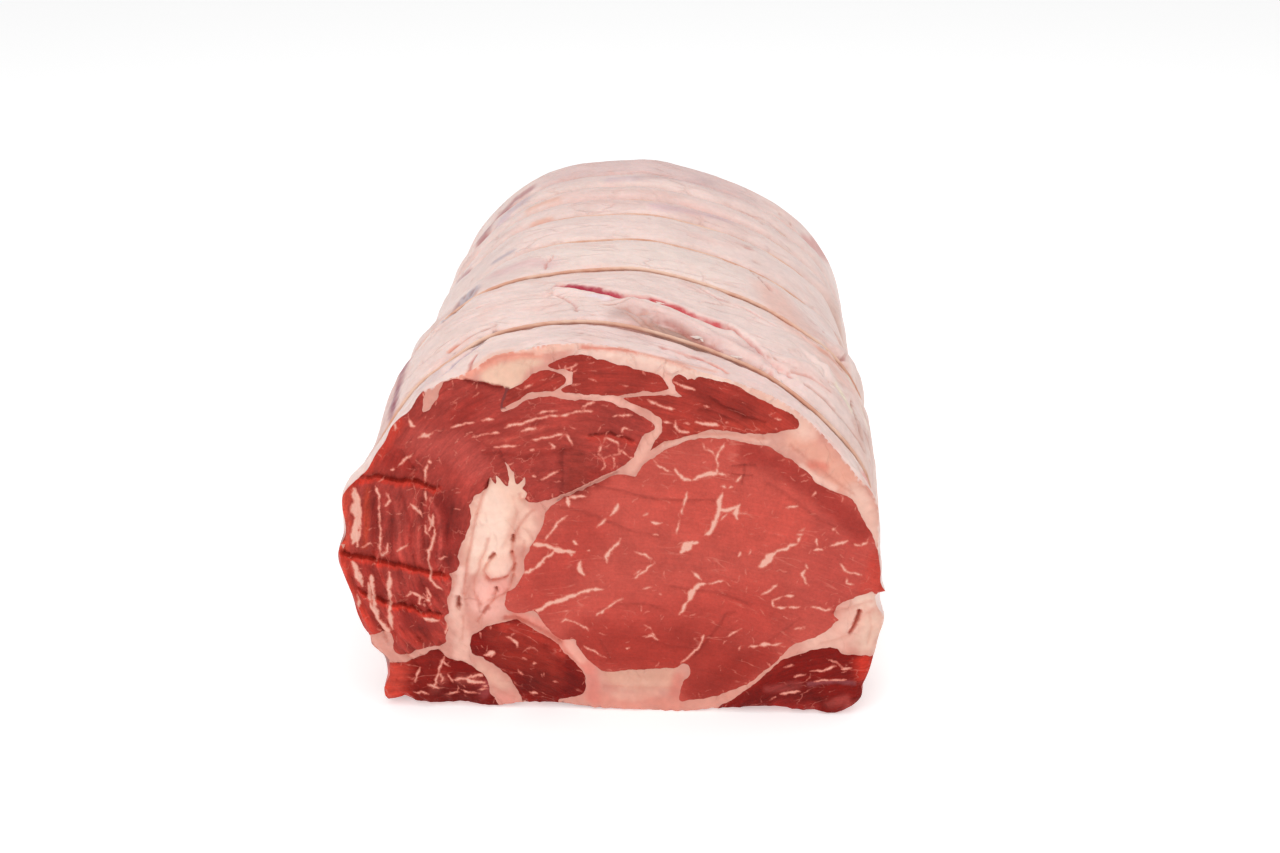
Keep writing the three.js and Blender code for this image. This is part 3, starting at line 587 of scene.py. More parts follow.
# Marbling drawn one by one: half width, then the line of each streak.
MARBLING = {
    "eye_muscle": [
        (0.9, [(-15.5, 89.3), (-14.9, 85)]), (0.6, [(-15.3, 88.8), (-11, 89.3), (-8, 89.6)]),
        (0.9, [(3.4, 87), (2.5, 84.3), (0.3, 81.8)]),
        (0.9, [(-1.2, 80.8), (-2.5, 79), (-4.7, 77)]),
        (0.5, [(-15.3, 81.7), (-19, 79), (-20.8, 75.5), (-24, 71.3)]),
        (1.1, [(-29, 69.6), (-26.5, 69), (-23.5, 69.3), (-20.5, 68), (-17.3, 67.2), (-13, 66.7)]),
        (0.8, [(-14.5, 67), (-14.2, 65)]),
        (0.6, [(-20.3, 67), (-23.5, 64.3), (-25.3, 62.5), (-27.2, 60), (-32.5, 57.4)]),
        (1, [(-25.3, 63), (-24.6, 62)]), (1.1, [(-13.4, 71.2), (-11.8, 69.9)]),
        (0.5, [(-12.1, 75.2), (-11.8, 74)]), (0.9, [(-10.8, 63), (-11.4, 60.3), (-9.3, 57)]),
        (0.7, [(-8.4, 67.4), (-7.3, 67.6)]),
        (0.7, [(4.4, 72.5), (2.4, 69.8), (0, 67.5), (-1.3, 65.3), (-1, 63)]),
        (1, [(4.6, 72.9), (3.8, 71.9)]), (0.9, [(-1.1, 64), (-1, 62.6)]),
        (0.6, [(9.2, 67.7), (10.4, 67.3)]), (0.5, [(-5, 57.2), (-3.8, 57.5)]),
        (0.6, [(11.8, 60), (9.2, 57.7)]),
        (0.9, [(-2.3, 51.4), (-8, 50.8), (-13, 48.7), (-18.7, 46.8), (-23, 44.8), (-26.3, 42.7),
               (-29.3, 40)]),
        (0.65, [(5, 47.7), (1.7, 45.5), (-0.7, 44), (-3, 41.5), (-5, 40.3)]),
        (0.4, [(-18.8, 37), (-17, 38.7), (-14.5, 37.7), (-11.3, 36.3), (-8.8, 35), (-8, 33.7)]),
        (0.45, [(-17.6, 42), (-15.6, 42.4)]), (0.35, [(-10, 27.5), (-5.7, 25), (-1.3, 22.5)]),
        (0.5, [(6.3, 26.6), (7.6, 27.4)]),
        (0.5, [(42.3, 111.6), (40.7, 108.3), (39.4, 105.3), (39.8, 101.8)]),
        (0.9, [(39.6, 101.2), (39.4, 99.4), (36, 98.9), (33, 98), (30.7, 96.7)]),
        (0.7, [(30.7, 96.7), (27.5, 97), (25.8, 98.8), (24.3, 101.2)]),
        (0.6, [(39.4, 99.6), (42.8, 98.8), (43, 98)]), (0.5, [(34.5, 111.2), (34.8, 109)]),
        (0.4, [(34.8, 109), (37.5, 108.2), (38.6, 106.5)]), (0.8, [(34.5, 103.6), (35.5, 104)]),
        (1.5, [(42, 94.5), (43, 93.6)]), (0.6, [(44, 93.8), (45.6, 94.3)]),
        (0.6, [(46.6, 96.4), (48.6, 98.6)]),
        (0.8, [(41.7, 92), (40.6, 88), (40.8, 85), (40, 81.5), (38.8, 78.6), (37.6, 76),
               (35.2, 74.3)]),
        (0.8, [(41, 84.4), (44, 85), (46.9, 86.6), (48.6, 87.6)]),
        (1.1, [(47.6, 86.6), (46.8, 84.3), (47.6, 81.2)]), (0.6, [(41.3, 80.6), (44.2, 84)]),
        (0.7, [(28.9, 92), (28.4, 89), (27.6, 86)]), (1, [(27.2, 85.4), (27, 83)]),
        (0.45, [(25.8, 80.6), (25.2, 77), (25.2, 74.6)]),
        (1.9, [(31, 71.7), (29, 69.6), (26.8, 67.3)]), (1, [(30, 70.6), (33.2, 71.2)]),
        (0.6, [(15.2, 79.6), (17.5, 79.2), (19.8, 79.5)]), (0.6, [(12.5, 82), (14.5, 83)]),
        (0.7, [(12.2, 94.4), (13, 94.2)]), (0.5, [(15.8, 74.6), (18.2, 74.3)]),
        (0.5, [(10, 66.8), (13, 66.5), (16, 64.5)]), (0.6, [(16.6, 63.6), (17.2, 62.6)]),
        (0.55, [(17, 62.7), (13, 59.7), (9.3, 56.3)]),
        (0.55, [(30.8, 59.7), (32.3, 58.7), (34.5, 55.8)]),
        (1.2, [(35.6, 54.6), (33, 53), (30.8, 51), (29.8, 47.5)]),
        (1, [(29.8, 47.5), (27.8, 44.6), (26.2, 41.6)]),
        (0.6, [(42.7, 56), (40, 55), (36.5, 54.5)]), (0.45, [(12.3, 51.8), (16, 52.8)]),
        (0.5, [(18.7, 50.2), (19.5, 49.7)]), (0.7, [(48, 66), (48.9, 68)]),
        (0.5, [(51.8, 66.5), (52.7, 69)]), (1, [(70.8, 74.5), (69.9, 71.8)]),
        (0.9, [(69.8, 71.8), (66, 70), (62.2, 68.3)]),
        (1.3, [(62.2, 68.2), (59.6, 66.2), (57.8, 64), (55.8, 62.2)]),
        (0.6, [(69.4, 75.3), (71.8, 75.6)]), (0.5, [(71.4, 76.6), (71.9, 77.6)]),
        (0.6, [(76.6, 74), (77.4, 71)]), (1.1, [(76.4, 69.3), (79, 69.5)]),
        (0.6, [(82, 71), (84.8, 72), (88.4, 73.2)]), (0.6, [(91, 72), (93.3, 71.2)]),
        (0.55, [(93.3, 71.2), (95.8, 73)]),
        (0.5, [(85.8, 64), (87.8, 61.4), (90.3, 60.2), (94.2, 59.4)]),
        (0.8, [(73.2, 63.5), (74, 61.6)]),
        (0.55, [(73.6, 61.6), (71.7, 59.2), (73, 56.6), (74.6, 54.7)]),
        (0.8, [(82.6, 77.8), (83.6, 77.9)]), (0.5, [(65.2, 86.2), (69.8, 86.7)]),
        (0.5, [(63, 55.3), (60.5, 52.9), (56.8, 50.3)]), (0.9, [(66.2, 50.2), (69, 50.4)]),
        (0.45, [(65.2, 50), (61.5, 48.2), (61, 46.7), (62.3, 45.5)]),
        (0.6, [(62.3, 45.3), (64.8, 45), (66.7, 45.7)]),
        (0.45, [(66.7, 45.8), (69.8, 45.5), (71.7, 46)]),
        (0.45, [(75.2, 46), (78, 45.8), (81.2, 44.9), (84.2, 44.8)]),
        (0.5, [(69.8, 36.3), (73.7, 37.5)]), (0.8, [(52.5, 28.3), (56.2, 29.1)]),
        (0.85, [(56.6, 29.2), (59.3, 29.7), (61, 29.4)]), (0.5, [(61, 29.3), (65.7, 30.4)]),
        (0.5, [(49, 27), (49.8, 28.6)]), (0.4, [(12.8, 36.8), (15.2, 35.4), (16.4, 34)]),
        (0.7, [(16, 33.4), (17, 32.4)]), (0.4, [(13.6, 31.7), (16, 32.5), (19, 30.6)]),
        (0.4, [(43.7, 32.3), (46.6, 34), (50, 36.2)]), (0.45, [(74.6, 90.8), (76, 93)]),
        (0.4, [(27, 20.8), (30, 23.5), (33, 26.7), (35, 30.2), (35.5, 33.5)]),
        (0.4, [(16.3, 104.6), (18.5, 102), (21, 100.4), (23.2, 100)]),
        (0.5, [(23.6, 95.8), (24.8, 96.6)]), (0.4, [(88.4, 58.6), (88.8, 56), (91.6, 55.3)])],
    "cap_muscle": [
        (0.6, [(-10.9, 141.2), (-13.4, 139.6), (-16, 138.8)]),
        (0.35, [(-13.5, 133), (-10, 133.6)]), (0.3, [(-7, 141.4), (-5, 142)]),
        (0.3, [(4, 133.4), (7, 133)])],
    "cap_muscle_tip": [
        (0.3, [(-31, 131), (-27, 133.6)]), (0.3, [(-25, 134.6), (-22.4, 135.4)])],
    "cap_muscle_side": [
        (0.5, [(23.5, 134.6), (27.5, 133.2), (31.3, 131.8)]),
        (0.5, [(14, 127.8), (17.4, 126.3), (20.7, 125), (24, 124.5)]),
        (0.45, [(24.3, 120), (24, 118.1), (25.5, 115.7), (29.3, 115.4)]),
        (0.4, [(19.5, 119.5), (22.5, 119)]), (0.4, [(27.3, 118.9), (29.4, 118.8)]),
        (0.65, [(31.5, 119.5), (34.8, 119), (37.8, 118.3), (40.3, 118.2)]),
        (0.5, [(42.6, 119.6), (43.6, 119.4)]), (0.35, [(60.3, 121.3), (62.8, 120.9)]),
        (0.35, [(47.7, 133), (48.8, 131.9)]), (0.3, [(34.4, 125.8), (36.6, 125.2)])],
    "lip_muscle": [
        (1.9, [(-94.6, 91), (-94, 86), (-94.2, 80), (-94.8, 74), (-96.2, 68.6)]),
        (0.8, [(-93, 82), (-93.4, 74), (-95, 67)]),
        (1.3, [(-96.6, 61.8), (-95, 56), (-93.4, 50.8)]),
        (0.8, [(-91, 53), (-90.7, 46), (-90, 41.5), (-88, 37.3), (-85, 33), (-84, 31)]),
        (0.6, [(-95.7, 47.5), (-95, 42.5)]),
        (0.8, [(-83.2, 57.7), (-83.3, 50), (-83.2, 44.5), (-83.7, 38), (-83, 32.7)]),
        (0.45, [(-86.5, 92.5), (-85.5, 88.5), (-86, 80.5), (-85.5, 74), (-86, 68), (-86.3, 65)]),
        (0.4, [(-86.3, 65), (-85.4, 63.5), (-83.7, 65), (-83.4, 68.7)]),
        (1.3, [(-80.4, 98.4), (-79.6, 98.8)]), (0.55, [(-78, 100), (-75.4, 102.4), (-72, 105.5)]),
        (1.2, [(-66.3, 102.4), (-65.6, 101.6)]),
        (0.55, [(-66.8, 101), (-67.8, 98), (-68.3, 93.6)]), (0.45, [(-68, 90.5), (-68, 86)]),
        (0.5, [(-69.2, 112), (-66.5, 112.6), (-64, 114)]),
        (1, [(-73, 118.4), (-72.3, 116.6), (-71, 116.2)]),
        (0.6, [(-73.7, 85.5), (-70.5, 81), (-69.5, 79.5)]),
        (0.6, [(-67, 81.5), (-66, 77), (-65, 75.5)]),
        (0.5, [(-65, 75.5), (-66, 70.5), (-67, 67.6), (-68, 66), (-67.8, 60.7), (-67.4, 55),
               (-65.6, 52), (-63, 49.8)]),
        (0.45, [(-68.5, 77), (-68.8, 74), (-67, 71.5)]), (0.45, [(-64, 63), (-60.8, 63.5)]),
        (0.5, [(-75.7, 49), (-73, 48), (-71.8, 47), (-72.5, 44), (-70, 42.7)]),
        (0.4, [(-70.5, 48.3), (-68.7, 46.3), (-70.7, 44.5)]),
        (0.5, [(-78.4, 46.8), (-77.4, 46.6)]),
        (0.9, [(-70.8, 38.8), (-67.8, 37.2), (-64.8, 37.4)]),
        (0.5, [(-62, 37.5), (-61.3, 34.7), (-62.7, 31.3)]),
        (0.42, [(-38.2, 116), (-35.8, 117), (-32, 118), (-27.2, 119.3), (-21.8, 120.8),
                (-16.3, 121), (-10.8, 122.7), (-5.6, 122.9)]),
        (0.45, [(-26, 121.6), (-22, 122.6), (-18.7, 122.9)]), (0.6, [(-32, 114.6), (-26.6, 116)]),
        (0.4, [(-28.7, 111.3), (-24.2, 112.2), (-19.3, 113.3), (-15.4, 114), (-13.2, 109.2)]),
        (0.45, [(-42.3, 108.2), (-38.2, 108.8), (-32.7, 109.3)]),
        (0.9, [(-28.6, 107.2), (-27.4, 107.6)]), (0.5, [(-46.3, 118.8), (-41.8, 119.3)]),
        (1.1, [(-28, 97.2), (-27.2, 96.8)]),
        (0.5, [(-25.3, 95.7), (-22.8, 97), (-20.3, 98.7), (-18.5, 99)]),
        (0.45, [(-9.7, 124.3), (-7.6, 125.8), (-5, 126.3)]),
        (0.4, [(4.7, 114.8), (5.6, 116.5), (8.7, 115.8)]),
        (0.3, [(-2.5, 110.2), (-1.1, 112.7), (3.1, 111.2), (3.7, 108.7), (4, 106.8), (0.7, 105.8),
               (-2.1, 104.1), (-3.9, 106.6), (-2.5, 110.2)]),
        (0.32, [(3.7, 108.7), (7.3, 105.6), (10.1, 103.8)]),
        (0.28, [(0.7, 105.8), (2.1, 104.6), (2.4, 102), (1.6, 100.6)]),
        (0.28, [(-2.1, 104.1), (-1.1, 101.5), (-3, 99.8)]),
        (0.4, [(-50, 112), (-45, 113.6), (-40, 114)]),
        (0.4, [(-58, 115.5), (-53, 117.5), (-49, 118)]),
        (0.5, [(-70, 111.5), (-67.7, 113.1), (-65.5, 111.6)]),
        (0.45, [(-82.8, 89.8), (-81.4, 86.6), (-83.4, 84.1)]),
        (0.5, [(-79.8, 65.4), (-75.4, 69.2)]),
        (0.45, [(-92.9, 66.8), (-89.4, 68.9), (-88.7, 67.7)]),
        (0.9, [(-90, 56.1), (-89.6, 48.5), (-89.2, 41), (-86.8, 35.1), (-84, 30.1)]),
        (0.45, [(-77.5, 46.7), (-74, 48.5), (-71.1, 46.4), (-68.1, 45.6), (-69.5, 49)]),
        (0.45, [(-69.4, 50.6), (-68, 47.3), (-68.9, 44.8)]),
        (1, [(-83.4, 122.7), (-79, 119.4), (-78.3, 114.5)]),
        (0.4, [(-21.9, 110.4), (-20.1, 108.8), (-21.2, 108)]),
        (0.45, [(1.6, 120.9), (3.1, 121.4), (8.9, 121.8)]),
        (0.5, [(-65.2, 82), (-66.1, 77.1), (-67.7, 73.8)])],
    "rib_muscle_left": [
        (0.55, [(-70.5, 9.5), (-66, 8)]), (0.45, [(-66, 14.5), (-64, 12.5), (-65, 11)]),
        (0.4, [(-76, 6), (-72.5, 6.3), (-70, 5.3)]),
        (0.6, [(-60.5, 12), (-56.5, 12.2), (-53, 13.7)]),
        (0.65, [(-56.5, 12), (-52, 11), (-48, 10.6)]), (0.4, [(-51, 7.5), (-47, 8)]),
        (0.5, [(-63.6, 21.5), (-65.7, 16.3), (-68.4, 7.6)]), (0.5, [(-62.7, 14.2), (-60.5, 10.3)]),
        (0.7, [(-53.9, 13.1), (-47.3, 14.6)]), (0.4, [(-65, 20), (-61.4, 17)]),
        (0.4, [(-57.5, 7.4), (-50.2, 5.8)]), (0.4, [(-73, 17), (-75.2, 10.4)]),
        (0.4, [(-63, 5.6), (-58, 6.4)])],
    "rib_muscle_middle": [
        (0.5, [(-39.7, 31.2), (-37.3, 29.9), (-35.5, 28.3), (-35.5, 26.3)]),
        (0.35, [(-37.4, 31.4), (-36, 32.4)]), (0.35, [(-31.7, 26), (-30, 26.5), (-27.5, 25)]),
        (0.7, [(-29.4, 19.4), (-28.4, 19.8)]), (0.35, [(-35.3, 17), (-33.5, 14.7)]),
        (0.8, [(-48.3, 22.6), (-44.6, 23.8), (-45.6, 22)]), (0.35, [(-33.4, 22), (-31.8, 21.2)]),
        (0.6, [(-31, 7.2), (-28, 6.6)]), (0.35, [(-22, 12), (-20, 11.4)])],
    "rib_muscle_right": [
        (0.4, [(76, 18.5), (80, 18.8), (83, 19.6), (85.6, 21)]), (0.4, [(70, 16), (75, 17.4)]),
        (0.35, [(83, 23.5), (86, 22.8), (88.6, 20)]), (0.5, [(65, 8.4), (69, 9.4), (73, 9.6)]),
        (0.35, [(61, 5.6), (63.4, 7.2)]), (0.4, [(88, 19.6), (92, 20.4)]),
        (0.35, [(66, 20), (70, 21)]), (0.4, [(78, 14), (84, 14.8), (90, 15.2)])],
}

# How many small flecks each muscle has, which way they lie, in degrees from level, and how widely
# they scatter from it.
FLECKS = {"eye_muscle": (230, 35, 50), "cap_muscle": (12, -5, 20), "cap_muscle_tip": (3, 30, 20),
          "cap_muscle_side": (20, -12, 22), "lip_muscle": (170, 35, 45),
          "rib_muscle_left": (14, -20, 50), "rib_muscle_middle": (22, -20, 50),
          "rib_muscle_right": (18, 18, 20)}


def small_flecks(name, outline, dice):
    """Short streaks strewn over a muscle: each starts at a random place inside the outline, runs
    one to three millimetres the way the muscle's flecks lie, and turns a little half way."""
    low, high = outline.min(0), outline.max(0)
    amount, lie, spread = FLECKS[name]
    starts = dice.uniform(low, high, (amount * 3, 2))
    starts = starts[inside(starts, outline[loop_edges(len(outline))])][:amount]
    turn = np.radians(lie + spread * dice.standard_normal((len(starts), 2)) * [1, 0.4])
    turn[:, 1] += turn[:, 0] - np.radians(lie)
    run = dice.uniform(0.5, 1.7, (len(starts), 1))
    first = starts + run * np.stack([np.cos(turn[:, 0]), np.sin(turn[:, 0])], -1)
    second = first + run * np.stack([np.cos(turn[:, 1]), np.sin(turn[:, 1])], -1)
    widths = dice.uniform(0.04, 0.24, len(starts))
    return [(w, [a, b, c]) for w, a, b, c in zip(widths, starts, first, second)]


def square_to(along):
    """Unit ways a quarter turn to the left of these."""
    side = np.stack([-along[:, 1], along[:, 0]], -1)
    return side / np.maximum(np.linalg.norm(side, axis=1, keepdims=True), 1e-6)


SPUR_EVERY = 14  # one spur to so many points of the outline


def edge_spurs(outline, dice):
    """Wisps of fat that reach from the seam into the muscle: every few millimetres of the outline
    one starts at the edge and runs one to three millimetres inwards, at a slant."""
    picks = np.sort(dice.choice(len(outline), len(outline) // SPUR_EVERY, replace=False))
    along = np.roll(outline, -1, 0)[picks] - np.roll(outline, 1, 0)[picks]
    ahead = np.roll(outline, -1, 0)
    area = (outline[:, 0] * ahead[:, 1] - ahead[:, 0] * outline[:, 1]).sum()
    inwards = square_to(along) * np.sign(area)
    along /= np.maximum(np.linalg.norm(along, axis=1, keepdims=True), 1e-6)
    way = inwards + along * dice.normal(0, 0.9, (len(picks), 1))
    way /= np.linalg.norm(way, axis=1, keepdims=True)
    run = dice.uniform(0.6, 2.6, (len(picks), 1))
    start = outline[picks] - inwards * 0.3
    middle = start + way * run * 0.6 + along * dice.normal(0, 0.2, (len(picks), 1))
    return [(w, [a, b, c]) for w, a, b, c in
            zip(dice.uniform(0.1, 0.34, len(picks)), start, middle, start + way * run * 1.2)]


def even_steps(line, step, least):
    """An open line in even steps of about this length, with at least so many points. Gives how far
    along it each point lies, and the points."""
    line = np.asarray(line, float)
    at = np.concatenate([[0], np.cumsum(np.linalg.norm(np.diff(line, axis=0), axis=1))])
    s = np.linspace(0, at[-1], max(least, int(at[-1] / step) + 1))
    return s, np.stack([np.interp(s, at, column) for column in line.T], -1)


def streak(half_width, line, dice):
    """A drawn streak made natural: the line in half-millimetre steps that sways by smooth noise,
    and a half width that swells and thins along it and runs out towards both ends. Gives knots
    (n, 2) and half widths (n,)."""
    s, knots = even_steps(line, 0.5, 4)
    place = np.stack([s, np.full(len(s), dice.uniform(0, 900)), 0 * s], -1)
    to_end = np.minimum(s, s[-1] - s)
    sway = min(0.55, 0.3 + 0.2 * half_width) * np.clip(to_end / 0.8, 0, 1)
    knots += sway[:, None] * np.stack([grain(place, 1.9, 5) + 0.4 * grain(place, 0.9, 8),
                                       grain(place, 1.9, 6) + 0.4 * grain(place, 0.9, 9)], -1)
    swell = 0.3 + 0.7 * np.clip(to_end / (1 + 1.6 * half_width), 0, 1) ** 0.8
    return knots, half_width * swell * (0.95 + 0.5 * grain(place, 1.7, 7))


def streak_depth(points, streaks):
    """How deep each point lies inside the nearest streak, in millimetres: the half width there
    less the distance to the middle line, and up to 0.3 less in the thinnest streaks, cut off at 1
    inside and outside."""
    depth = np.full(len(points), -1.0)
    for knots, half_widths in streaks:
        reach = half_widths.max() + 1
        low, high = knots.min(0) - reach, knots.max(0) + reach
        near = np.flatnonzero(((points > low) & (points < high)).all(1))
        if not len(near):
            continue
        p = points[near]
        best = depth[near]
        for a, b, wa, wb in zip(knots[:-1], knots[1:], half_widths[:-1], half_widths[1:]):
            t = np.clip((p - a) @ (b - a) / max((b - a) @ (b - a), 1e-9), 0, 1)
            away = np.linalg.norm(p - a - t[:, None] * (b - a), axis=1)
            thin = 0.3 * np.clip(1 - max(wa, wb) / 0.35, 0, 1)
            best = np.maximum(best, wa + (wb - wa) * t - away - thin)
        depth[near] = best
    return np.clip(depth, -1, 1)


def round_streaks(streaks):
    """Points that let a mesh follow the streaks: along the middle of each, on both its borders,
    and a little outside them."""
    sets = []
    for knots, half_widths in streaks:
        side = square_to(np.gradient(knots, axis=0))
        w = half_widths[:, None]
        sets.append(knots[w[:, 0] > 0.3])
        sets += [knots + side * w * k for k in (-1, 1)]
        sets += [knots + side * (w + 0.35) * k for k in (-1, 1)]
    return np.concatenate(sets)


TRIANGLE_HEIGHT = 0.87  # of an even triangle, as a share of its side
LATTICE_SHAKE = 0.22
CLEAR_OF_EDGE = 0.22
CLEAR_OF_POINT = 0.42


def even_points(ends, spacing, dice):
    """Points inside the figure with these edges: a lattice of triangles, every point shaken."""
    low, high = ends.reshape(-1, 2).min(0), ends.reshape(-1, 2).max(0)
    rows = np.arange(low[1], high[1], spacing * TRIANGLE_HEIGHT)
    columns = np.arange(low[0], high[0], spacing)
    x, z = np.meshgrid(columns, rows)
    x = x + np.where(np.arange(len(rows)) % 2, spacing / 2, 0)[:, None]
    points = np.stack([x.ravel(), z.ravel()], -1)
    points += dice.uniform(-LATTICE_SHAKE, LATTICE_SHAKE, points.shape) * spacing
    return points[inside(points, ends)]


def cut_sheet(figures, extra, spacing, dice):
    """Triangles that fill what all the figures have in common, through the extra points and an
    even lattice. Points too near an edge or a point already taken are left out first."""
    marks = np.concatenate(figures).reshape(-1, 2)
    for ends in figures:
        extra = extra[inside(extra, ends)]
    extra = extra[gap_to(extra, marks, 1) > CLEAR_OF_EDGE]
    lattice = even_points(figures[0], spacing, dice)
    taken = np.concatenate([marks, extra])
    lattice = lattice[gap_to(lattice, taken, 1) > CLEAR_OF_POINT]
    points = np.concatenate([taken, lattice])
    pairs = np.arange(len(marks)).reshape(-1, 2).tolist()
    made = delaunay_2d_cdt([Vector(p) for p in points], pairs, [], 0, 1e-5, False)
    corners, triangles = np.array([p[:] for p in made[0]]), np.array(made[2])
    for ends in figures:
        triangles = triangles[inside(corners[triangles].mean(1), ends)]
    used, triangles = np.unique(triangles, return_inverse=True)
    return corners[used], triangles.reshape(-1, 3)


def open_edges(triangles):
    """Edges that only one triangle has, each in its triangle's own direction."""
    edges = np.concatenate([triangles[:, [0, 1]], triangles[:, [1, 2]], triangles[:, [2, 0]]])
    sorted_edges = np.sort(edges, axis=1)
    _, index, counts = np.unique(sorted_edges, axis=0, return_index=True, return_counts=True)
    return edges[index[counts == 1]]


def held_in(points, y, depth):
    """The points of a section, drawn in towards the middle where they would come nearer than
    `depth` to the skin at y."""
    ring = ring_at([y])[0][0] - MIDDLE
    angle = np.arctan2(ring[:, 1], ring[:, 0])
    order = np.argsort(angle)
    away = points - MIDDLE
    reach = np.hypot(away[:, 0], away[:, 1])
    room = np.interp(np.arctan2(away[:, 1], away[:, 0]), angle[order],
                     np.hypot(ring[:, 0], ring[:, 1])[order], period=2 * math.pi) - depth
    return MIDDLE + away * np.minimum(1, room / reach)[:, None]


RUN_STATIONS = np.concatenate([[FRONT + 1.2, FRONT + 6], TIES, [BACK - 1.2]])
WALL_GAP = 0.3
SKIN_COVER = 1.7


def run_back(loop, edges, cover=SKIN_COVER, inset=0.0):
    """Walls that run from a loop on the front cut straight back to the back cut. Behind the cut
    the loop moves inwards by the inset, and at each station it is held inside the skin. Gives the
    points (stations, n, 3) and the quads."""
    stations = np.concatenate([[FRONT], RUN_STATIONS, [BACK]])
    along = np.zeros_like(loop)
    np.add.at(along, edges[:, 0], loop[edges[:, 1]] - loop[edges[:, 0]])
    np.add.at(along, edges[:, 1], loop[edges[:, 1]] - loop[edges[:, 0]])
    inwards = square_to(along) * inset
    rings = [loop] + [held_in(loop + inwards, y, cover) for y in stations[1:]]
    depth = np.repeat(stations[:, None], len(loop), 1)
    depth[0] -= cut_relief(loop)
    count = len(loop)
    steps = np.arange(len(stations) - 1)[:, None, None] * count
    quads = np.stack([edges[:, 1], edges[:, 0], edges[:, 0] + count, edges[:, 1] + count], -1)
    return upright(np.array(rings), depth), (quads[None] + steps).reshape(-1, 4)


def pigment(red, green, blue):
    """A colour given as it looks, 0 to 255, in the linear numbers that materials use."""
    seen = np.array([red, green, blue]) / 255
    return np.where(seen <= 0.04045, seen / 12.92, ((seen + 0.055) / 1.055) ** 2.4)


def brushed(points, ground, marks, seed):
    """Colour of every point: the ground colour, then each mark laid over it in turn. A mark is
    strongest on its line and gone at its reach, and noise breaks its edge. Its last number, where
    given, is the share of the reach that stays at full strength."""
    colour = np.tile(ground, (len(points), 1)) if np.ndim(ground) == 1 else ground.copy()
    at = points if points.shape[1] == 3 else upright(points)
    ragged = 0.5 * grain(at, 1.9, seed) + 0.7 * grain(at, 6, seed + 1)
    for shade, strength, reach, line, *crisp in marks:
        gap = line_gap(points, line if len(line) > 1 else [line[0], line[0]], reach * 1.5)
        weight = strength * (1 - smooth_step(gap + ragged * min(0.3 * reach, 1.8),
                                             (crisp or [0.2])[0] * reach, reach))
        colour += weight[:, None] * (pigment(*shade) - colour)
    return np.clip(colour, 0, 1)


def flesh_tone_and_strand_light(name, points):
    """How light or dark the flesh is at each point, about 1: soft noise of three sizes, and in the
    lip the same strands as in its relief, so that the raised ones are lighter, partly their own
    paler tone and partly painted light, and the hollows between them darker with painted shade."""
    at = upright(points, 40)
    light = 1 + 0.07 * grain(at, 11, 41) + 0.06 * grain(at, 4.5, 42) + 0.04 * grain(at, 2.2, 43)
    if name == "lip_muscle":
        light += (0.1 + 0.34 * in_block(points)) * strand_noise(points)
        light += 0.07 * grain(at, 6, 44)
    elif name != "eye_muscle":
        light += 0.12 * grain(at, 6, 45) + 0.08 * grain(at, 3, 46)
    return light[:, None]


# Colours of the lean, as the cut shows them.
EYE_RED = pigment(201, 95, 84)
DEEP_RED = pigment(168, 63, 53)
LIP_RED = pigment(172, 70, 62)
RIB_RED = pigment(132, 22, 13)
# Fresh red of the lean; the same colour is the painted light on the ledges of the knife steps.
FRESH_RED_AND_LEDGE_LIGHT = (204, 62, 46)
MAROON = (104, 24, 20)
# Painted shadow for crevices and creases.
PAINTED_CREVICE_SHADOW = (86, 18, 14)
# A painted sheen, lilac.
PAINTED_LILAC_SHEEN = (190, 120, 130)

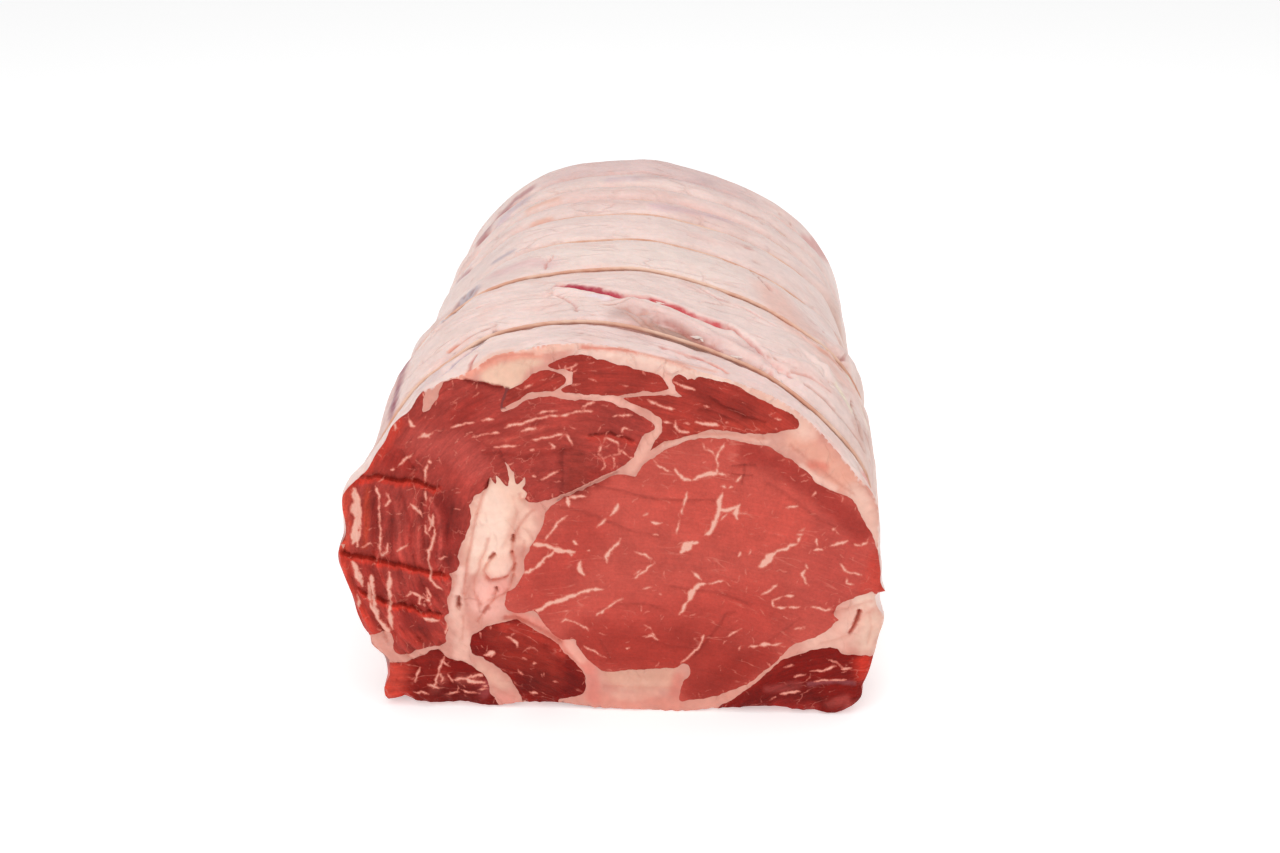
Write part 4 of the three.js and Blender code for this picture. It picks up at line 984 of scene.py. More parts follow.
LEAN_GROUND = {"eye_muscle": EYE_RED, "cap_muscle": DEEP_RED, "cap_muscle_tip": DEEP_RED,
               "cap_muscle_side": DEEP_RED, "lip_muscle": LIP_RED, "rib_muscle_left": RIB_RED,
               "rib_muscle_middle": RIB_RED, "rib_muscle_right": RIB_RED}
LEAN_MARKS = [
    ((188, 74, 64), 0.7, 26, [(10, 30), (30, 34), (52, 40)]),
    ((172, 62, 52), 0.8, 17, [(-6, 28), (12, 25), (28, 27), (44, 20)]),
    ((160, 55, 46), 0.85, 11, [(34, 10), (46, 16), (58, 24)]),
    ((188, 82, 74), 0.6, 20, [(84, 52), (88, 64), (84, 78)]),
    ((168, 62, 54), 0.85, 7, [(52, 108), (62, 104), (70, 97), (80, 90), (88, 82), (93, 77)]),
    ((192, 78, 68), 0.7, 16, [(-10, 74), (-20, 60), (-26, 50)]),
    (FRESH_RED_AND_LEDGE_LIGHT, 0.45, 5, [(100, 66), (101, 58), (102, 54)]),
    ((220, 84, 70), 0.4, 5, [(98, 60), (97, 54)]),
    ((212, 96, 84), 0.6, 18, [(28, 88), (50, 78), (64, 82)]),
    ((148, 48, 40), 0.7, 6, [(-4, 98), (-12, 94)]),
    ((176, 74, 64), 0.6, 12, [(-30, 112), (-10, 116)]),
    ((150, 60, 50), 0.7, 7, [(-12, 92), (-11, 104)]),
    ((190, 76, 64), 0.6, 2.2, [(-5, 112.4), (4, 112.4)]),
    ((138, 42, 34), 0.45, 5, [(30, 132), (40, 128), (50, 124.5)]),
    ((188, 72, 58), 0.8, 3.5, [(30, 116.8), (44, 118), (58, 118)]),
    ((182, 68, 56), 0.6, 6, [(56, 126), (64, 121)]),
    ((150, 44, 36), 0.8, 7, [(-74, 100), (-82, 104)]),
    ((206, 100, 92), 0.55, 9, [(-68, 110), (-56, 108), (-50, 100)]),
    ((150, 46, 38), 0.6, 6, [(-48, 126), (-54, 120)]),
    ((142, 44, 38), 0.75, 9, [(-62, 86), (-60, 74), (-62, 64)]),
    ((152, 52, 46), 0.6, 6, [(-88, 88), (-88, 74)]),
    ((146, 44, 38), 0.8, 9, [(-72, 32), (-76, 40), (-70, 50)]),
    ((150, 44, 36), 0.7, 5, [(-92, 58), (-88, 50)]),
    ((140, 40, 32), 0.7, 1.3, [(-87.4, 92), (-87.6, 82), (-88, 72), (-88.4, 65)]),
    ((138, 38, 32), 0.6, 1.2, [(-81.6, 88), (-81, 78), (-81.4, 70), (-82, 63)]),
    ((138, 38, 32), 0.6, 1.2, [(-77.4, 90), (-75.6, 84), (-74, 76), (-74.6, 66)]),
    ((206, 96, 86), 0.6, 1.2, [(-79.4, 86), (-78.6, 76), (-79, 64)]),
    ((204, 92, 82), 0.6, 1.1, [(-72.6, 88), (-71.6, 80), (-71.6, 68)]),
    ((134, 36, 30), 0.6, 1.1, [(-69.6, 88), (-69.4, 78), (-70, 66)]),
    ((206, 98, 90), 0.5, 1.0, [(-66.4, 88), (-63.4, 80), (-63, 70), (-64.4, 60)]),
    ((132, 36, 32), 0.7, 1.4, [(-62, 88), (-60.4, 80), (-60.6, 70)]),
    ((140, 42, 36), 0.5, 1.2, [(-79.6, 57), (-79, 50), (-78, 46)]),
    ((150, 46, 38), 0.5, 1.2, [(-86, 58), (-86.4, 50), (-85, 40)]),
    ((140, 42, 34), 0.5, 1.6, [(-30, 105), (-24, 106), (-14, 108)]),
    ((140, 42, 34), 0.5, 1.4, [(-46, 106), (-38, 105.6), (-30, 104)]),
    ((204, 96, 84), 0.5, 1.6, [(-44, 110.6), (-34, 112), (-24, 116)]),
    ((140, 42, 34), 0.5, 1.3, [(-44, 116), (-34, 119.6), (-26, 118)]),
    (FRESH_RED_AND_LEDGE_LIGHT, 0.8, 4, [(-97, 92), (-93, 96)]),
    (FRESH_RED_AND_LEDGE_LIGHT, 0.7, 5, [(-98, 48), (-94, 38)]),
    ((212, 84, 68), 0.9, 12, [(-89, 3), (-86, 6), (-85, 14)], 0.1),
    ((196, 60, 48), 0.6, 5, [(-80, 3), (-70, 2)]),
    ((150, 40, 30), 0.7, 6, [(-72, 12), (-66, 16), (-70, 20)]),
    ((170, 60, 48), 0.7, 6, [(-44, 31), (-36, 30), (-26, 24), (-20, 14)]),
    ((156, 52, 40), 0.7, 8, [(-40, 22), (-32, 20), (-24, 12)]),
    ((170, 92, 96), 0.6, 4, [(-49, 6), (-47, 10)]),
    ((216, 86, 68), 0.85, 3.4, [(-97, 91), (-99.4, 84), (-99, 76), (-101, 67)], 0.4),
    ((208, 74, 58), 0.85, 3.6, [(-101, 60), (-98, 49), (-95, 38), (-92, 30)], 0.4),
    ((186, 72, 50), 0.8, 1.6, [(-89.6, 91), (-90.2, 84), (-91, 74), (-92, 67)], 0.3),
    ((206, 70, 54), 0.75, 4, [(-97, 93), (-90, 99), (-84, 107), (-78, 117)], 0.3),
    ((190, 70, 58), 0.6, 4, [(-66, 30), (-78, 30), (-88, 34)]),
    (MAROON, 0.7, 8, [(-72, 3), (-62, 5), (-54, 5)]),
    ((176, 96, 86), 0.45, 3.4, [(-68, 8), (-65, 12)]),
    ((180, 100, 90), 0.45, 3, [(-58, 12), (-52, 12)]),
    (MAROON, 0.6, 9, [(-32, 12), (-22, 10), (-16, 12)]),
    ((186, 66, 54), 0.8, 3.5, [(-40, 35.5), (-33, 34.4), (-27, 31.4), (-22, 28), (-18.4, 24)]),
    (MAROON, 0.6, 8, [(54, 6), (64, 6), (74, 5)]),
    (FRESH_RED_AND_LEDGE_LIGHT, 0.85, 6, [(97, 23), (96.5, 17)]),
    ((170, 48, 42), 0.6, 4, [(64, 3), (78, 3.6)]),
    # A painted lilac sheen along the crease low on the right.
    (PAINTED_LILAC_SHEEN, 0.5, 1.4, [(76, 12.8), (86, 14.2), (93, 13.6)]),
    ((180, 84, 78), 0.65, 3.5, [(84, 4), (90, 7), (92, 3)]),
    ((178, 92, 88), 0.4, 2.5, [(60, 10.5), (72, 12.5)]),
]
# Under each knife step a band of the lean's fresh red, with painted light where the ledge faces
# up, and above the step a painted shadow line in the crevice.
for line, fresh in zip(knife_lines, (0.9, 0.9, 0.9, 0.4)):
    LEAN_MARKS.append((FRESH_RED_AND_LEDGE_LIGHT, fresh, 1.7, line[::2] - (0, 0.8)))
    LEAN_MARKS.append((PAINTED_CREVICE_SHADOW, 0.5, 0.8, line[::2] + (0, 0.3)))
# Painted shade along every crease of the lean.
for depth, half_width, line in CREASES:
    LEAN_MARKS.append((PAINTED_CREVICE_SHADOW, 0.55 * min(depth, 0.9), 1.3 * half_width, np.array(line)))


def add_piece(name, points, faces, materials, layers, face_material=None, smooth_below=55):
    """A mesh object from arrays in millimetres: points (n, 3), a list of face arrays, named layers
    of one number, one place or one colour for each point. Normals are turned outwards on the
    closed shell."""
    mesh = bpy.data.meshes.new(name)
    mesh.vertices.add(len(points))
    mesh.vertices.foreach_set("co", (np.asarray(points) / 1000).astype(np.float32).ravel())
    loops = np.concatenate([f.ravel() for f in faces])
    sizes = np.concatenate([np.full(len(f), f.shape[1]) for f in faces])
    mesh.loops.add(len(loops))
    mesh.loops.foreach_set("vertex_index", loops.astype(np.int32))
    mesh.polygons.add(len(sizes))
    mesh.polygons.foreach_set("loop_start", (np.cumsum(sizes) - sizes).astype(np.int32))
    if face_material is not None:
        mesh.polygons.foreach_set("material_index", face_material.astype(np.int32))
    mesh.update(calc_edges=True)
    for layer, values in layers.items():
        kind, part = "FLOAT", "value"
        if layer == "lie":
            kind, part = "FLOAT_VECTOR", "vector"
        elif values.ndim == 2:
            kind, part = "FLOAT_COLOR", "color"
            values = np.pad(values, ((0, 0), (0, 1)), constant_values=1)
        data = mesh.attributes.new(layer, kind, "POINT").data
        data.foreach_set(part, values.astype(np.float32).ravel())
    shell = bmesh.new()
    shell.from_mesh(mesh)
    bmesh.ops.remove_doubles(shell, verts=shell.verts, dist=2e-6)
    bmesh.ops.recalc_face_normals(shell, faces=shell.faces)
    shell.to_mesh(mesh)
    shell.free()
    mesh.polygons.foreach_set("use_smooth", np.ones(len(mesh.polygons), bool))
    mesh.set_sharp_from_angle(angle=math.radians(smooth_below))
    for material in materials:
        mesh.materials.append(material)
    piece = bpy.data.objects.new(name, mesh)
    bpy.context.scene.collection.objects.link(piece)
    return piece


def placed(tree, kind, feeds={}, output=0, **settings):
    """One shader node with its settings and what goes into it. Gives the output asked for."""
    node = tree.nodes.new("ShaderNode" + kind)
    for setting, value in settings.items():
        setattr(node, setting, value)
    feed(tree, node, feeds)
    return node.outputs[output]


def calculated(tree, operation, first, second):
    """One step of arithmetic on two values."""
    return placed(tree, "Math", {0: first, 1: second}, operation=operation)


def mottle_group():
    """Shader group: noise of a broad and a fine size at the given place, as one value that
    averages 1 and swings by Broad and Fine."""
    group = bpy.data.node_groups.new("mottle", "ShaderNodeTree")
    group.interface.new_socket("Place", in_out="INPUT", socket_type="NodeSocketVector")
    for label, value in (("Broad Scale", 60), ("Broad", 0.1), ("Fine Scale", 600), ("Fine", 0.1)):
        socket = group.interface.new_socket(label, in_out="INPUT", socket_type="NodeSocketFloat")
        socket.default_value = value
    group.interface.new_socket("Value", in_out="OUTPUT", socket_type="NodeSocketFloat")
    given = group.nodes.new("NodeGroupInput").outputs
    swings = {}
    for number, size in enumerate(("Broad", "Fine")):
        noise = placed(group, "TexNoise", {"Vector": given["Place"], "Detail": 4,
                                           "Scale": given[size + " Scale"]})
        centred = calculated(group, "SUBTRACT", noise, 0.5)
        swings[number] = calculated(group, "MULTIPLY", centred, given[size])
    value = calculated(group, "ADD", placed(group, "Math", swings), 1.0)
    group.links.new(value, group.nodes.new("NodeGroupOutput").inputs["Value"])
    return group


mottle = mottle_group()


def mottled(tree, place, broad_scale, broad, fine_scale, fine):
    """One placed mottle group with its own values. Scales are waves per unit of the place."""
    return placed(tree, "Group", {"Place": place, "Broad Scale": broad_scale, "Broad": broad,
                                  "Fine Scale": fine_scale, "Fine": fine}, node_tree=mottle)


def stretched(tree, place, stretch):
    """A place or a colour, each of its three numbers multiplied by its own."""
    return placed(tree, "VectorMath", {0: place, 1: stretch}, operation="MULTIPLY")


def object_place(tree, stretch=(1, 1, 1)):
    """Object coordinates in metres, multiplied by the stretch."""
    return stretched(tree, placed(tree, "TexCoord", output="Object"), stretch)


def bent(tree, place, scale, detail, amount):
    """The place pushed about by noise, so that the cells drawn on it get crooked edges."""
    noise = placed(tree, "TexNoise", {"Vector": place, "Scale": scale, "Detail": detail}, "Color")
    return placed(tree, "VectorMath", {0: noise, 1: amount, 2: place}, operation="MULTIPLY_ADD")


def tinted(tree, colour, value):
    """The colour times the value."""
    return placed(tree, "VectorMath", {0: colour, "Scale": value}, operation="SCALE")


def blended(tree, share, first, second):
    """The first colour where the share is 0 and the second where it is 1."""
    first, second = [shade if isinstance(shade, bpy.types.NodeSocket) else (*shade, 1)
                     for shade in (first, second)]
    return placed(tree, "Mix", {0: share, 6: first, 7: second}, 2, data_type="RGBA")


def ramped(tree, value, low, high, to_low=0.0, to_high=1.0):
    """The value brought from low..high to to_low..to_high, smooth and clamped."""
    return placed(tree, "MapRange", {"Value": value, "From Min": low, "From Max": high,
                                     "To Min": to_low, "To Max": to_high},
                  interpolation_type="SMOOTHSTEP")


MEAT_DEPTH = (0.94, 0.72, 0.68)  # meat under its film of moisture is deeper than it looks
MARBLING_WHITE = pigment(236, 176, 158)
MARBLING_PINK = pigment(214, 118, 102)


def lean_material(name, fibre):
    """Wet lean beef: the painted red with mottling and fibres, streaks of fat where the mesh says,
    with ragged edges and fainter where they are thin, and a film of moisture over it."""
    material, tree, surface = new_material(name)
    flesh = placed(tree, "Attribute", output="Color", attribute_name="flesh")
    marbling = placed(tree, "Attribute", output="Fac", attribute_name="marbling")
    lie = placed(tree, "Attribute", output="Vector", attribute_name="lie")
    place = object_place(tree)
    strands = mottled(tree, stretched(tree, lie, (0.14, 0.7, 1)), 0.8, fibre, 2.2, 0.7 * fibre)
    red = tinted(tree, stretched(tree, flesh, MEAT_DEPTH),
                 mottled(tree, place, 120, 0.35, 900, 0.4))
    red = tinted(tree, red, strands)
    # Threads of fat too thin to model: the bent edges of cells that lie along the fibres, shown
    # only in patches.
    cells = bent(tree, stretched(tree, lie, (0.11, 0.19, 0)), 1.7, 3, (1.1, 1.1, 0))
    threads = placed(tree, "TexVoronoi", {"Vector": cells, "Scale": 1}, "Distance",
                     voronoi_dimensions="2D", feature="DISTANCE_TO_EDGE")
    thread = ramped(tree, threads, 0.0, 0.05, 1, 0)
    shown = ramped(tree, mottled(tree, place, 75, 2.6, 260, 1.0), 1.0, 1.45, 0, 0.6)
    red = blended(tree, calculated(tree, "MULTIPLY", thread, shown), red, MARBLING_PINK)
    ragged = calculated(tree, "SUBTRACT", mottled(tree, place, 500, 0.9, 1600, 0.7), 1)
    depth = calculated(tree, "ADD", marbling, ragged)
    veil = ramped(tree, depth, -0.42, 0.2)
    core = ramped(tree, depth, 0.0, 0.62)
    meat = blended(tree, veil, red, MARBLING_PINK)
    relief = calculated(tree, "ADD", strands, mottled(tree, place, 350, 0.8, 1300, 0.7))
    feed(tree, surface, {
        "Base Color": blended(tree, core, meat, MARBLING_WHITE),
        "Roughness": ramped(tree, veil, 0, 1, 0.36, 0.44),
        "Specular IOR Level": 0.11, "Coat Weight": 0.02, "Coat Roughness": 0.14,
        "Subsurface Weight": 0.06, "Subsurface Scale": 0.002,
        "Subsurface Radius": (1.0, 0.22, 0.14),
        "Normal": placed(tree, "Bump", {"Strength": 0.8, "Distance": 0.0006, "Height": relief})})
    return material


lean_smooth = lean_material("lean_smooth", 0.24)
lean_fibrous = lean_material("lean_fibrous", 0.75)
LEAN_MATERIALS = {"eye_muscle": lean_smooth}

FACE_SPACING = 0.95
BACK_SPACING = 1.8
rim_ends = rim[loop_edges(len(rim))]
step_points = np.concatenate([line + (0, lift) for line in knife_lines
                              for lift in (-1.7, -1.0, -0.28, 0, 0.28, 0.8)])
crease_points = []
for depth, half_width, line in CREASES:
    knots, _ = streak(half_width, line, np.random.default_rng(5))
    side = square_to(np.gradient(knots, axis=0)) * half_width
    crease_points += [knots, knots + side, knots - side]
crease_points = np.concatenate(crease_points)
front_loops = {}

for seed, (name, outline) in enumerate(outlines.items(), 40):
    dice = np.random.default_rng(seed)
    drawn = MARBLING[name] + small_flecks(name, outline, dice) + edge_spurs(outline, dice)
    streaks = [streak(w, line, dice) for w, line in drawn]
    own = outline[loop_edges(len(outline))]
    corners, triangles = cut_sheet([own, rim_ends], np.concatenate(
        [round_streaks(streaks), step_points, crease_points]), FACE_SPACING, dice)
    edges = open_edges(triangles)
    loop_ids, edges = np.unique(edges, return_inverse=True)
    edges = edges.reshape(-1, 2)
    loop = corners[loop_ids]
    front_loops[name] = loop[edges]
    walls, quads = run_back(loop, edges, SKIN_COVER + WALL_GAP, WALL_GAP)
    far_drawn = [(1.1 * w, line) for w, line in MARBLING[name] if w > 0.45]
    far_drawn += small_flecks(name, outline, dice)[::3]
    back_streaks = [streak(w, line, dice) for w, line in far_drawn]
    back_corners, back_triangles = cut_sheet(
        [walls[-1][:, [0, 2]][edges]], round_streaks(back_streaks), BACK_SPACING, dice)

    back_y = BACK + 0.6 * grain(upright(back_corners), 12, 71)
    solid = np.concatenate([upright(corners, FRONT - cut_relief(corners)), walls.reshape(-1, 3),
                            upright(back_corners, back_y)])
    flat = solid[:, [0, 2]]
    wall_start, back_start = len(corners), len(corners) + walls.size // 3
    marbling = np.concatenate([streak_depth(corners, streaks), np.full(walls.size // 3, -1.0),
                               streak_depth(back_corners, back_streaks)])
    piece = add_piece(
        name, solid, [triangles, quads + wall_start, back_triangles + back_start],
        [LEAN_MATERIALS.get(name, lean_fibrous)],
        {"marbling": marbling, "lie": lie_of(name, flat),
         "flesh": brushed(flat, LEAN_GROUND[name], LEAN_MARKS, 7) * flesh_tone_and_strand_light(name, flat)})
    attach(piece, "root")
    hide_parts(name)

# ---------------------------------------------------------------------------------------------
# The fat: one mass that fills the seams between the muscles and covers the roast, with the thin
# silver membrane of the meat on it. Its skin is drawn in under the twine, and a slit, folds and
# torn edges lie on top where the butcher trimmed it.

FAT_WHITE = pigment(240, 212, 204)
FAT_CREAM = (240, 194, 172)
SEAM_PINK = (214, 146, 130)
BLUE_GREY = (206, 178, 188)
LEAN_BENEATH = pigment(176, 84, 78)
LEAN_DARK = pigment(132, 50, 48)
GROOVE_SHADE = pigment(150, 76, 58)

SEAM_MARKS = [
    (FAT_CREAM, 1.0, 13, [(-38, 90), (-44, 78), (-46, 66)]),
    ((246, 208, 190), 0.9, 8, [(-42, 86), (-43, 76), (-45, 68)]),
    ((240, 190, 170), 0.9, 6, [(-31, 80), (-31, 72)]),
    ((244, 204, 186), 0.9, 4, [(-48.5, 78), (-50, 68), (-50.5, 60)]),
    ((245, 198, 180), 0.9, 8, [(-41, 61)]),
    ((243, 178, 164), 0.9, 8, [(-46, 51), (-48, 44)]),
    ((238, 160, 146), 0.9, 5, [(-40, 53), (-42, 50)]),
    ((234, 168, 154), 0.9, 6, [(-42, 44), (-46, 40)]),
    ((242, 196, 180), 0.85, 3.4, [(-55.5, 58), (-57, 50), (-58.6, 40)]),
    ((240, 184, 166), 0.8, 5, [(-58, 40), (-56, 30), (-57, 22)]),
    ((226, 168, 148), 0.8, 5, [(-50, 17), (-42, 10)]),
    ((236, 152, 138), 0.8, 5, [(-42, 4), (-38, 3)]),
    ((218, 160, 138), 1.0, 8, [(2, 15), (12, 15.4), (22, 15)]),
    ((224, 170, 148), 0.8, 5, [(4, 12), (20, 12)]),
    ((222, 142, 124), 0.8, 5, [(-8, 6), (4, 3), (16, 5), (25, 3)]),
    ((228, 166, 146), 0.7, 3, [(2, 7), (9, 6.4), (18, 8)]),
    ((214, 122, 106), 0.7, 4, [(26, 15), (25, 8)]),
    ((218, 124, 110), 0.7, 4, [(-7, 16), (-6, 10), (-7, 5)]),
    ((228, 132, 116), 0.8, 4, [(-35, 39), (-26, 35), (-16, 26), (-8, 18)]),
    ((236, 168, 150), 0.8, 3, [(-15.5, 28), (-11, 22)]),
    ((222, 150, 132), 0.9, 5, [(32, 3), (44, 6), (56, 15), (66, 25)]),
    ((234, 180, 162), 0.9, 10, [(80, 32), (90, 36), (94, 44)]),
    ((232, 190, 170), 0.9, 6, [(99, 40), (97, 30)]),
    ((236, 196, 178), 0.8, 4, [(94, 49), (99, 49)]),
    ((214, 152, 136), 0.9, 6, [(30, 114), (50, 113.5), (64, 112)]),
    ((232, 164, 142), 0.95, 8, [(70, 112), (80, 104), (86, 98)]),
    ((222, 112, 90), 0.7, 3.5, [(74, 103.6), (78, 102.6)]),
    ((240, 190, 172), 0.9, 2.2, [(70.5, 102.8), (76, 98), (82.5, 94)]),
    ((236, 190, 172), 0.8, 5, [(90, 93), (96, 84), (99, 74)]),
    ((236, 188, 170), 1.0, 7, [(72, 117), (60, 128), (46, 134.5), (30, 139)]),
    ((234, 191, 176), 1.0, 8, [(26, 141), (10, 143), (-8, 147)]),
    ((231, 186, 162), 1.0, 9, [(-40, 135), (-30, 138)], 0.5),
    ((236, 154, 132), 0.95, 4.2, [(-54, 135), (-46.6, 140.6), (-40, 143.6), (-33, 145.2),
                                  (-26, 146)], 0.4),
    ((240, 190, 170), 0.8, 2.0, [(-33, 145.2), (-24, 146), (-14, 148)], 0.4),
    ((224, 140, 118), 0.7, 0.9, FLAP_CREASE, 0.3),
    ((226, 134, 114), 0.8, 0.9, [(-9.4, 147.4), (-2.9, 147), (4.3, 146.6), (11.4, 145.4)], 0.3),
    ((232, 156, 132), 0.6, 0.9, [(11.4, 145.4), (20.4, 142.8), (29.4, 139.4), (38, 136.4)], 0.3),
    ((244, 206, 190), 0.8, 1.6, [(0, 145), (16, 142.6), (30, 138.6), (44, 134)], 0.3),
    (SEAM_PINK, 0.9, 3, [(-35, 128), (-30, 132.6), (-27, 138.4), (-22, 139.2)]),
    ((232, 170, 154), 0.9, 3, [(-14, 137), (-14.5, 131), (0, 128), (8, 125)]),
    ((232, 168, 150), 0.9, 3.4, [(18, 124), (18, 116), (13, 108), (8, 101)]),
    ((234, 176, 160), 0.9, 3, [(20, 137), (23, 133), (25, 130)]),
    # Painted shadow in the crevices of the cut: the seam above the eye, the gap by the tip of the
    # cap and the line under the flap of fat above the lip.
    (PAINTED_CREVICE_SHADOW, 0.6, 0.8, [(-19, 87.6), (-14, 90.2), (-8, 93.2), (-2, 96.5), (3, 98.9)]),
    ((122, 26, 20), 1.0, 1.2, [(-36.8, 131), (-38, 128), (-38.9, 125.4), (-38.9, 124.2)], 0.8),
    ((150, 50, 40), 0.7, 0.9, [(-52, 134.4), (-45, 133), (-38.6, 131.6)]),
    # Painted shade in the deepest creases and pits of the thick fat.
    ((168, 60, 44), 0.9, 1.0, [(-46.2, 43), (-48, 40.8)]),
    ((126, 40, 30), 0.95, 1.0, [(-42.6, 52), (-42.4, 50.6)]),
    ((126, 42, 32), 0.9, 0.9, [(-57.1, 46.2), (-57.4, 44.8), (-57.2, 43.4)]),
    ((150, 70, 54), 0.9, 0.9, [(-43.2, 65.2), (-44.6, 63.8)]),
    ((110, 36, 28), 0.95, 0.8, [(-35.8, 73.2), (-35.9, 71.6)]),
    ((206, 86, 70), 0.7, 1.3, [(-36.9, 49.4), (-36.8, 44)]),
    ((206, 100, 82), 0.6, 1.0, [(-36.5, 58.8), (-35.5, 61.4), (-35.8, 64), (-36.5, 66)]),
    ((214, 108, 92), 0.6, 1.1, [(-46.2, 56), (-45, 54.5), (-41.2, 55.6), (-38.4, 56.7)]),
    ((170, 52, 36), 0.95, 0.9, RIGHT_GASH),
    ((188, 70, 54), 0.8, 1.2, [(-40, 38.6), (-36, 38.8), (-31, 36.7), (-26, 33.8), (-20, 29.6)]),
    ((208, 128, 108), 0.5, 1.0, [(17, 109.4), (24, 112.9), (32, 115), (44, 114.6), (56, 113.4)]),
    ((200, 120, 100), 0.5, 0.8, [(66, 111), (74, 104.6), (82, 98), (90, 92)]),
    ((232, 176, 158), 0.6, 1.0, [(20, 109.6), (30, 113.4), (44, 113.8), (58, 112)]),
]

# Painted shade along every crease of the cut fat.
SEAM_MARKS += [((212, 124, 104), 0.6 * min(1, depth), 1.6 * half_width, line)
               for depth, half_width, line in CREASES]

# The slits, torn membranes and folds on top, each a line of places near the skin.
SLIT = [(-23, -68, 148), (-16, -73, 148), (-10, -76, 149), (-5, -79, 149), (2, -83, 150)]
SLIT_THREAD = [(2, -83, 150), (8, -84, 149), (14, -83, 147)]
SECOND_SLIT = [(14, -83, 147), (18, -83, 146), (25, -85, 145), (30, -87, 144), (35, -88, 143),
               (42, -91, 140)]
SLIT_TAIL = [(42, -89, 140), (47, -93, 139), (52, -99, 136), (57, -105, 134), (62, -110, 131),
             (66, -115, 129)]
MEMBRANE_SLIT = [(17, -100, 146), (21, -99, 144), (26, -102, 142), (31, -105, 141),
                 (36, -107, 139), (40, -110, 138)]
MEMBRANE_EDGE = [(1, -94, 149), (4, -95, 149), (10, -100, 148), (14, -104, 146), (17, -107, 144)]
ROLL = [(6, -90, 148), (14, -92, 147), (22, -94, 145), (30, -97, 143), (38, -101, 141),
        (46, -106, 137), (54, -110, 134)]
CROSS_CREASE = [(-25, -70, 148), (-27, -76, 147), (-22, -82, 148), (-15, -92, 147),
                (-14, -99, 147)]
LEFT_FOLD = [(-61, -111, 136), (-57, -110, 138), (-53, -109, 141), (-50, -108, 142),
             (-46, -107, 144), (-44, -106, 144)]
LEFT_HOLLOW = [(-48, -119, 141), (-52, -122, 139), (-56, -124, 136), (-59, -127, 134),
               (-61, -131, 133)]
TIE_CREVICE = [(74, -66, 128), (79, -67, 124), (84, -60, 118), (89, -48, 112)]
SALMON_FOLD = [(19, -124, 143), (25, -125, 141), (31, -124, 139), (34, -124, 138)]
LOWER_SALMON_FOLD = [(28, -128, 140), (34, -126, 138), (38, -127, 137), (42, -131, 135)]
BACK_CREASE = [(42, 6, 139), (48, 3, 137), (53, -2, 135), (58, -14, 134), (61, -25, 134)]
SIDE_FOLD = [(90, -72, 114), (92, -80, 111), (94, -86, 106), (96, -92, 100)]
RIM_FOLD = [(70, -116, 124), (76, -116, 119), (81, -117, 113), (87, -116, 106), (91, -115, 98)]
CURL = [(53, -114, 133), (57, -113, 132), (60, -114, 131), (58, -120, 131)]
PATCH_EDGE = [(-65, -75, 136), (-64, -60, 136), (-61, -50, 138), (-58, -44, 139), (-63, -42, 137),
              (-67, -50, 134), (-69, -64, 133)]
MEMBRANE_CREASE = [(4, -99, 148), (10, -104, 147), (15, -108, 145)]
MEMBRANE_LIP = [(13, -97, 147), (18, -97, 146), (24, -98, 144), (30, -101, 142), (36, -104, 140)]
LEFT_DIP = [(-46, -113, 143), (-54, -115, 139), (-62, -116, 134)]
LEFT_CUT = [(-48, -128, 141), (-50, -132, 139), (-50, -136, 137)]
TOP_CREASE = [(-31, -40, 146), (-31, -32, 147), (-29, -26, 147)]
RIGHT_CREASE = [(64, -30, 132), (73, -32, 127), (79, -31, 123), (84, -38, 119)]
LOW_CREASE = [(89, -95, 114), (90, -106, 109), (92, -112, 103)]
NEAR_CREASE = [(62, -114, 130), (68, -110, 129), (74, -108, 126), (80, -108, 119)]
SLANT_CREASE = [(30, -50, 142), (38, -58, 140), (50, -62, 136), (60, -72, 132)]
FAR_CREASE = [(30, 32, 143), (44, 33, 139), (57, 29, 133)]

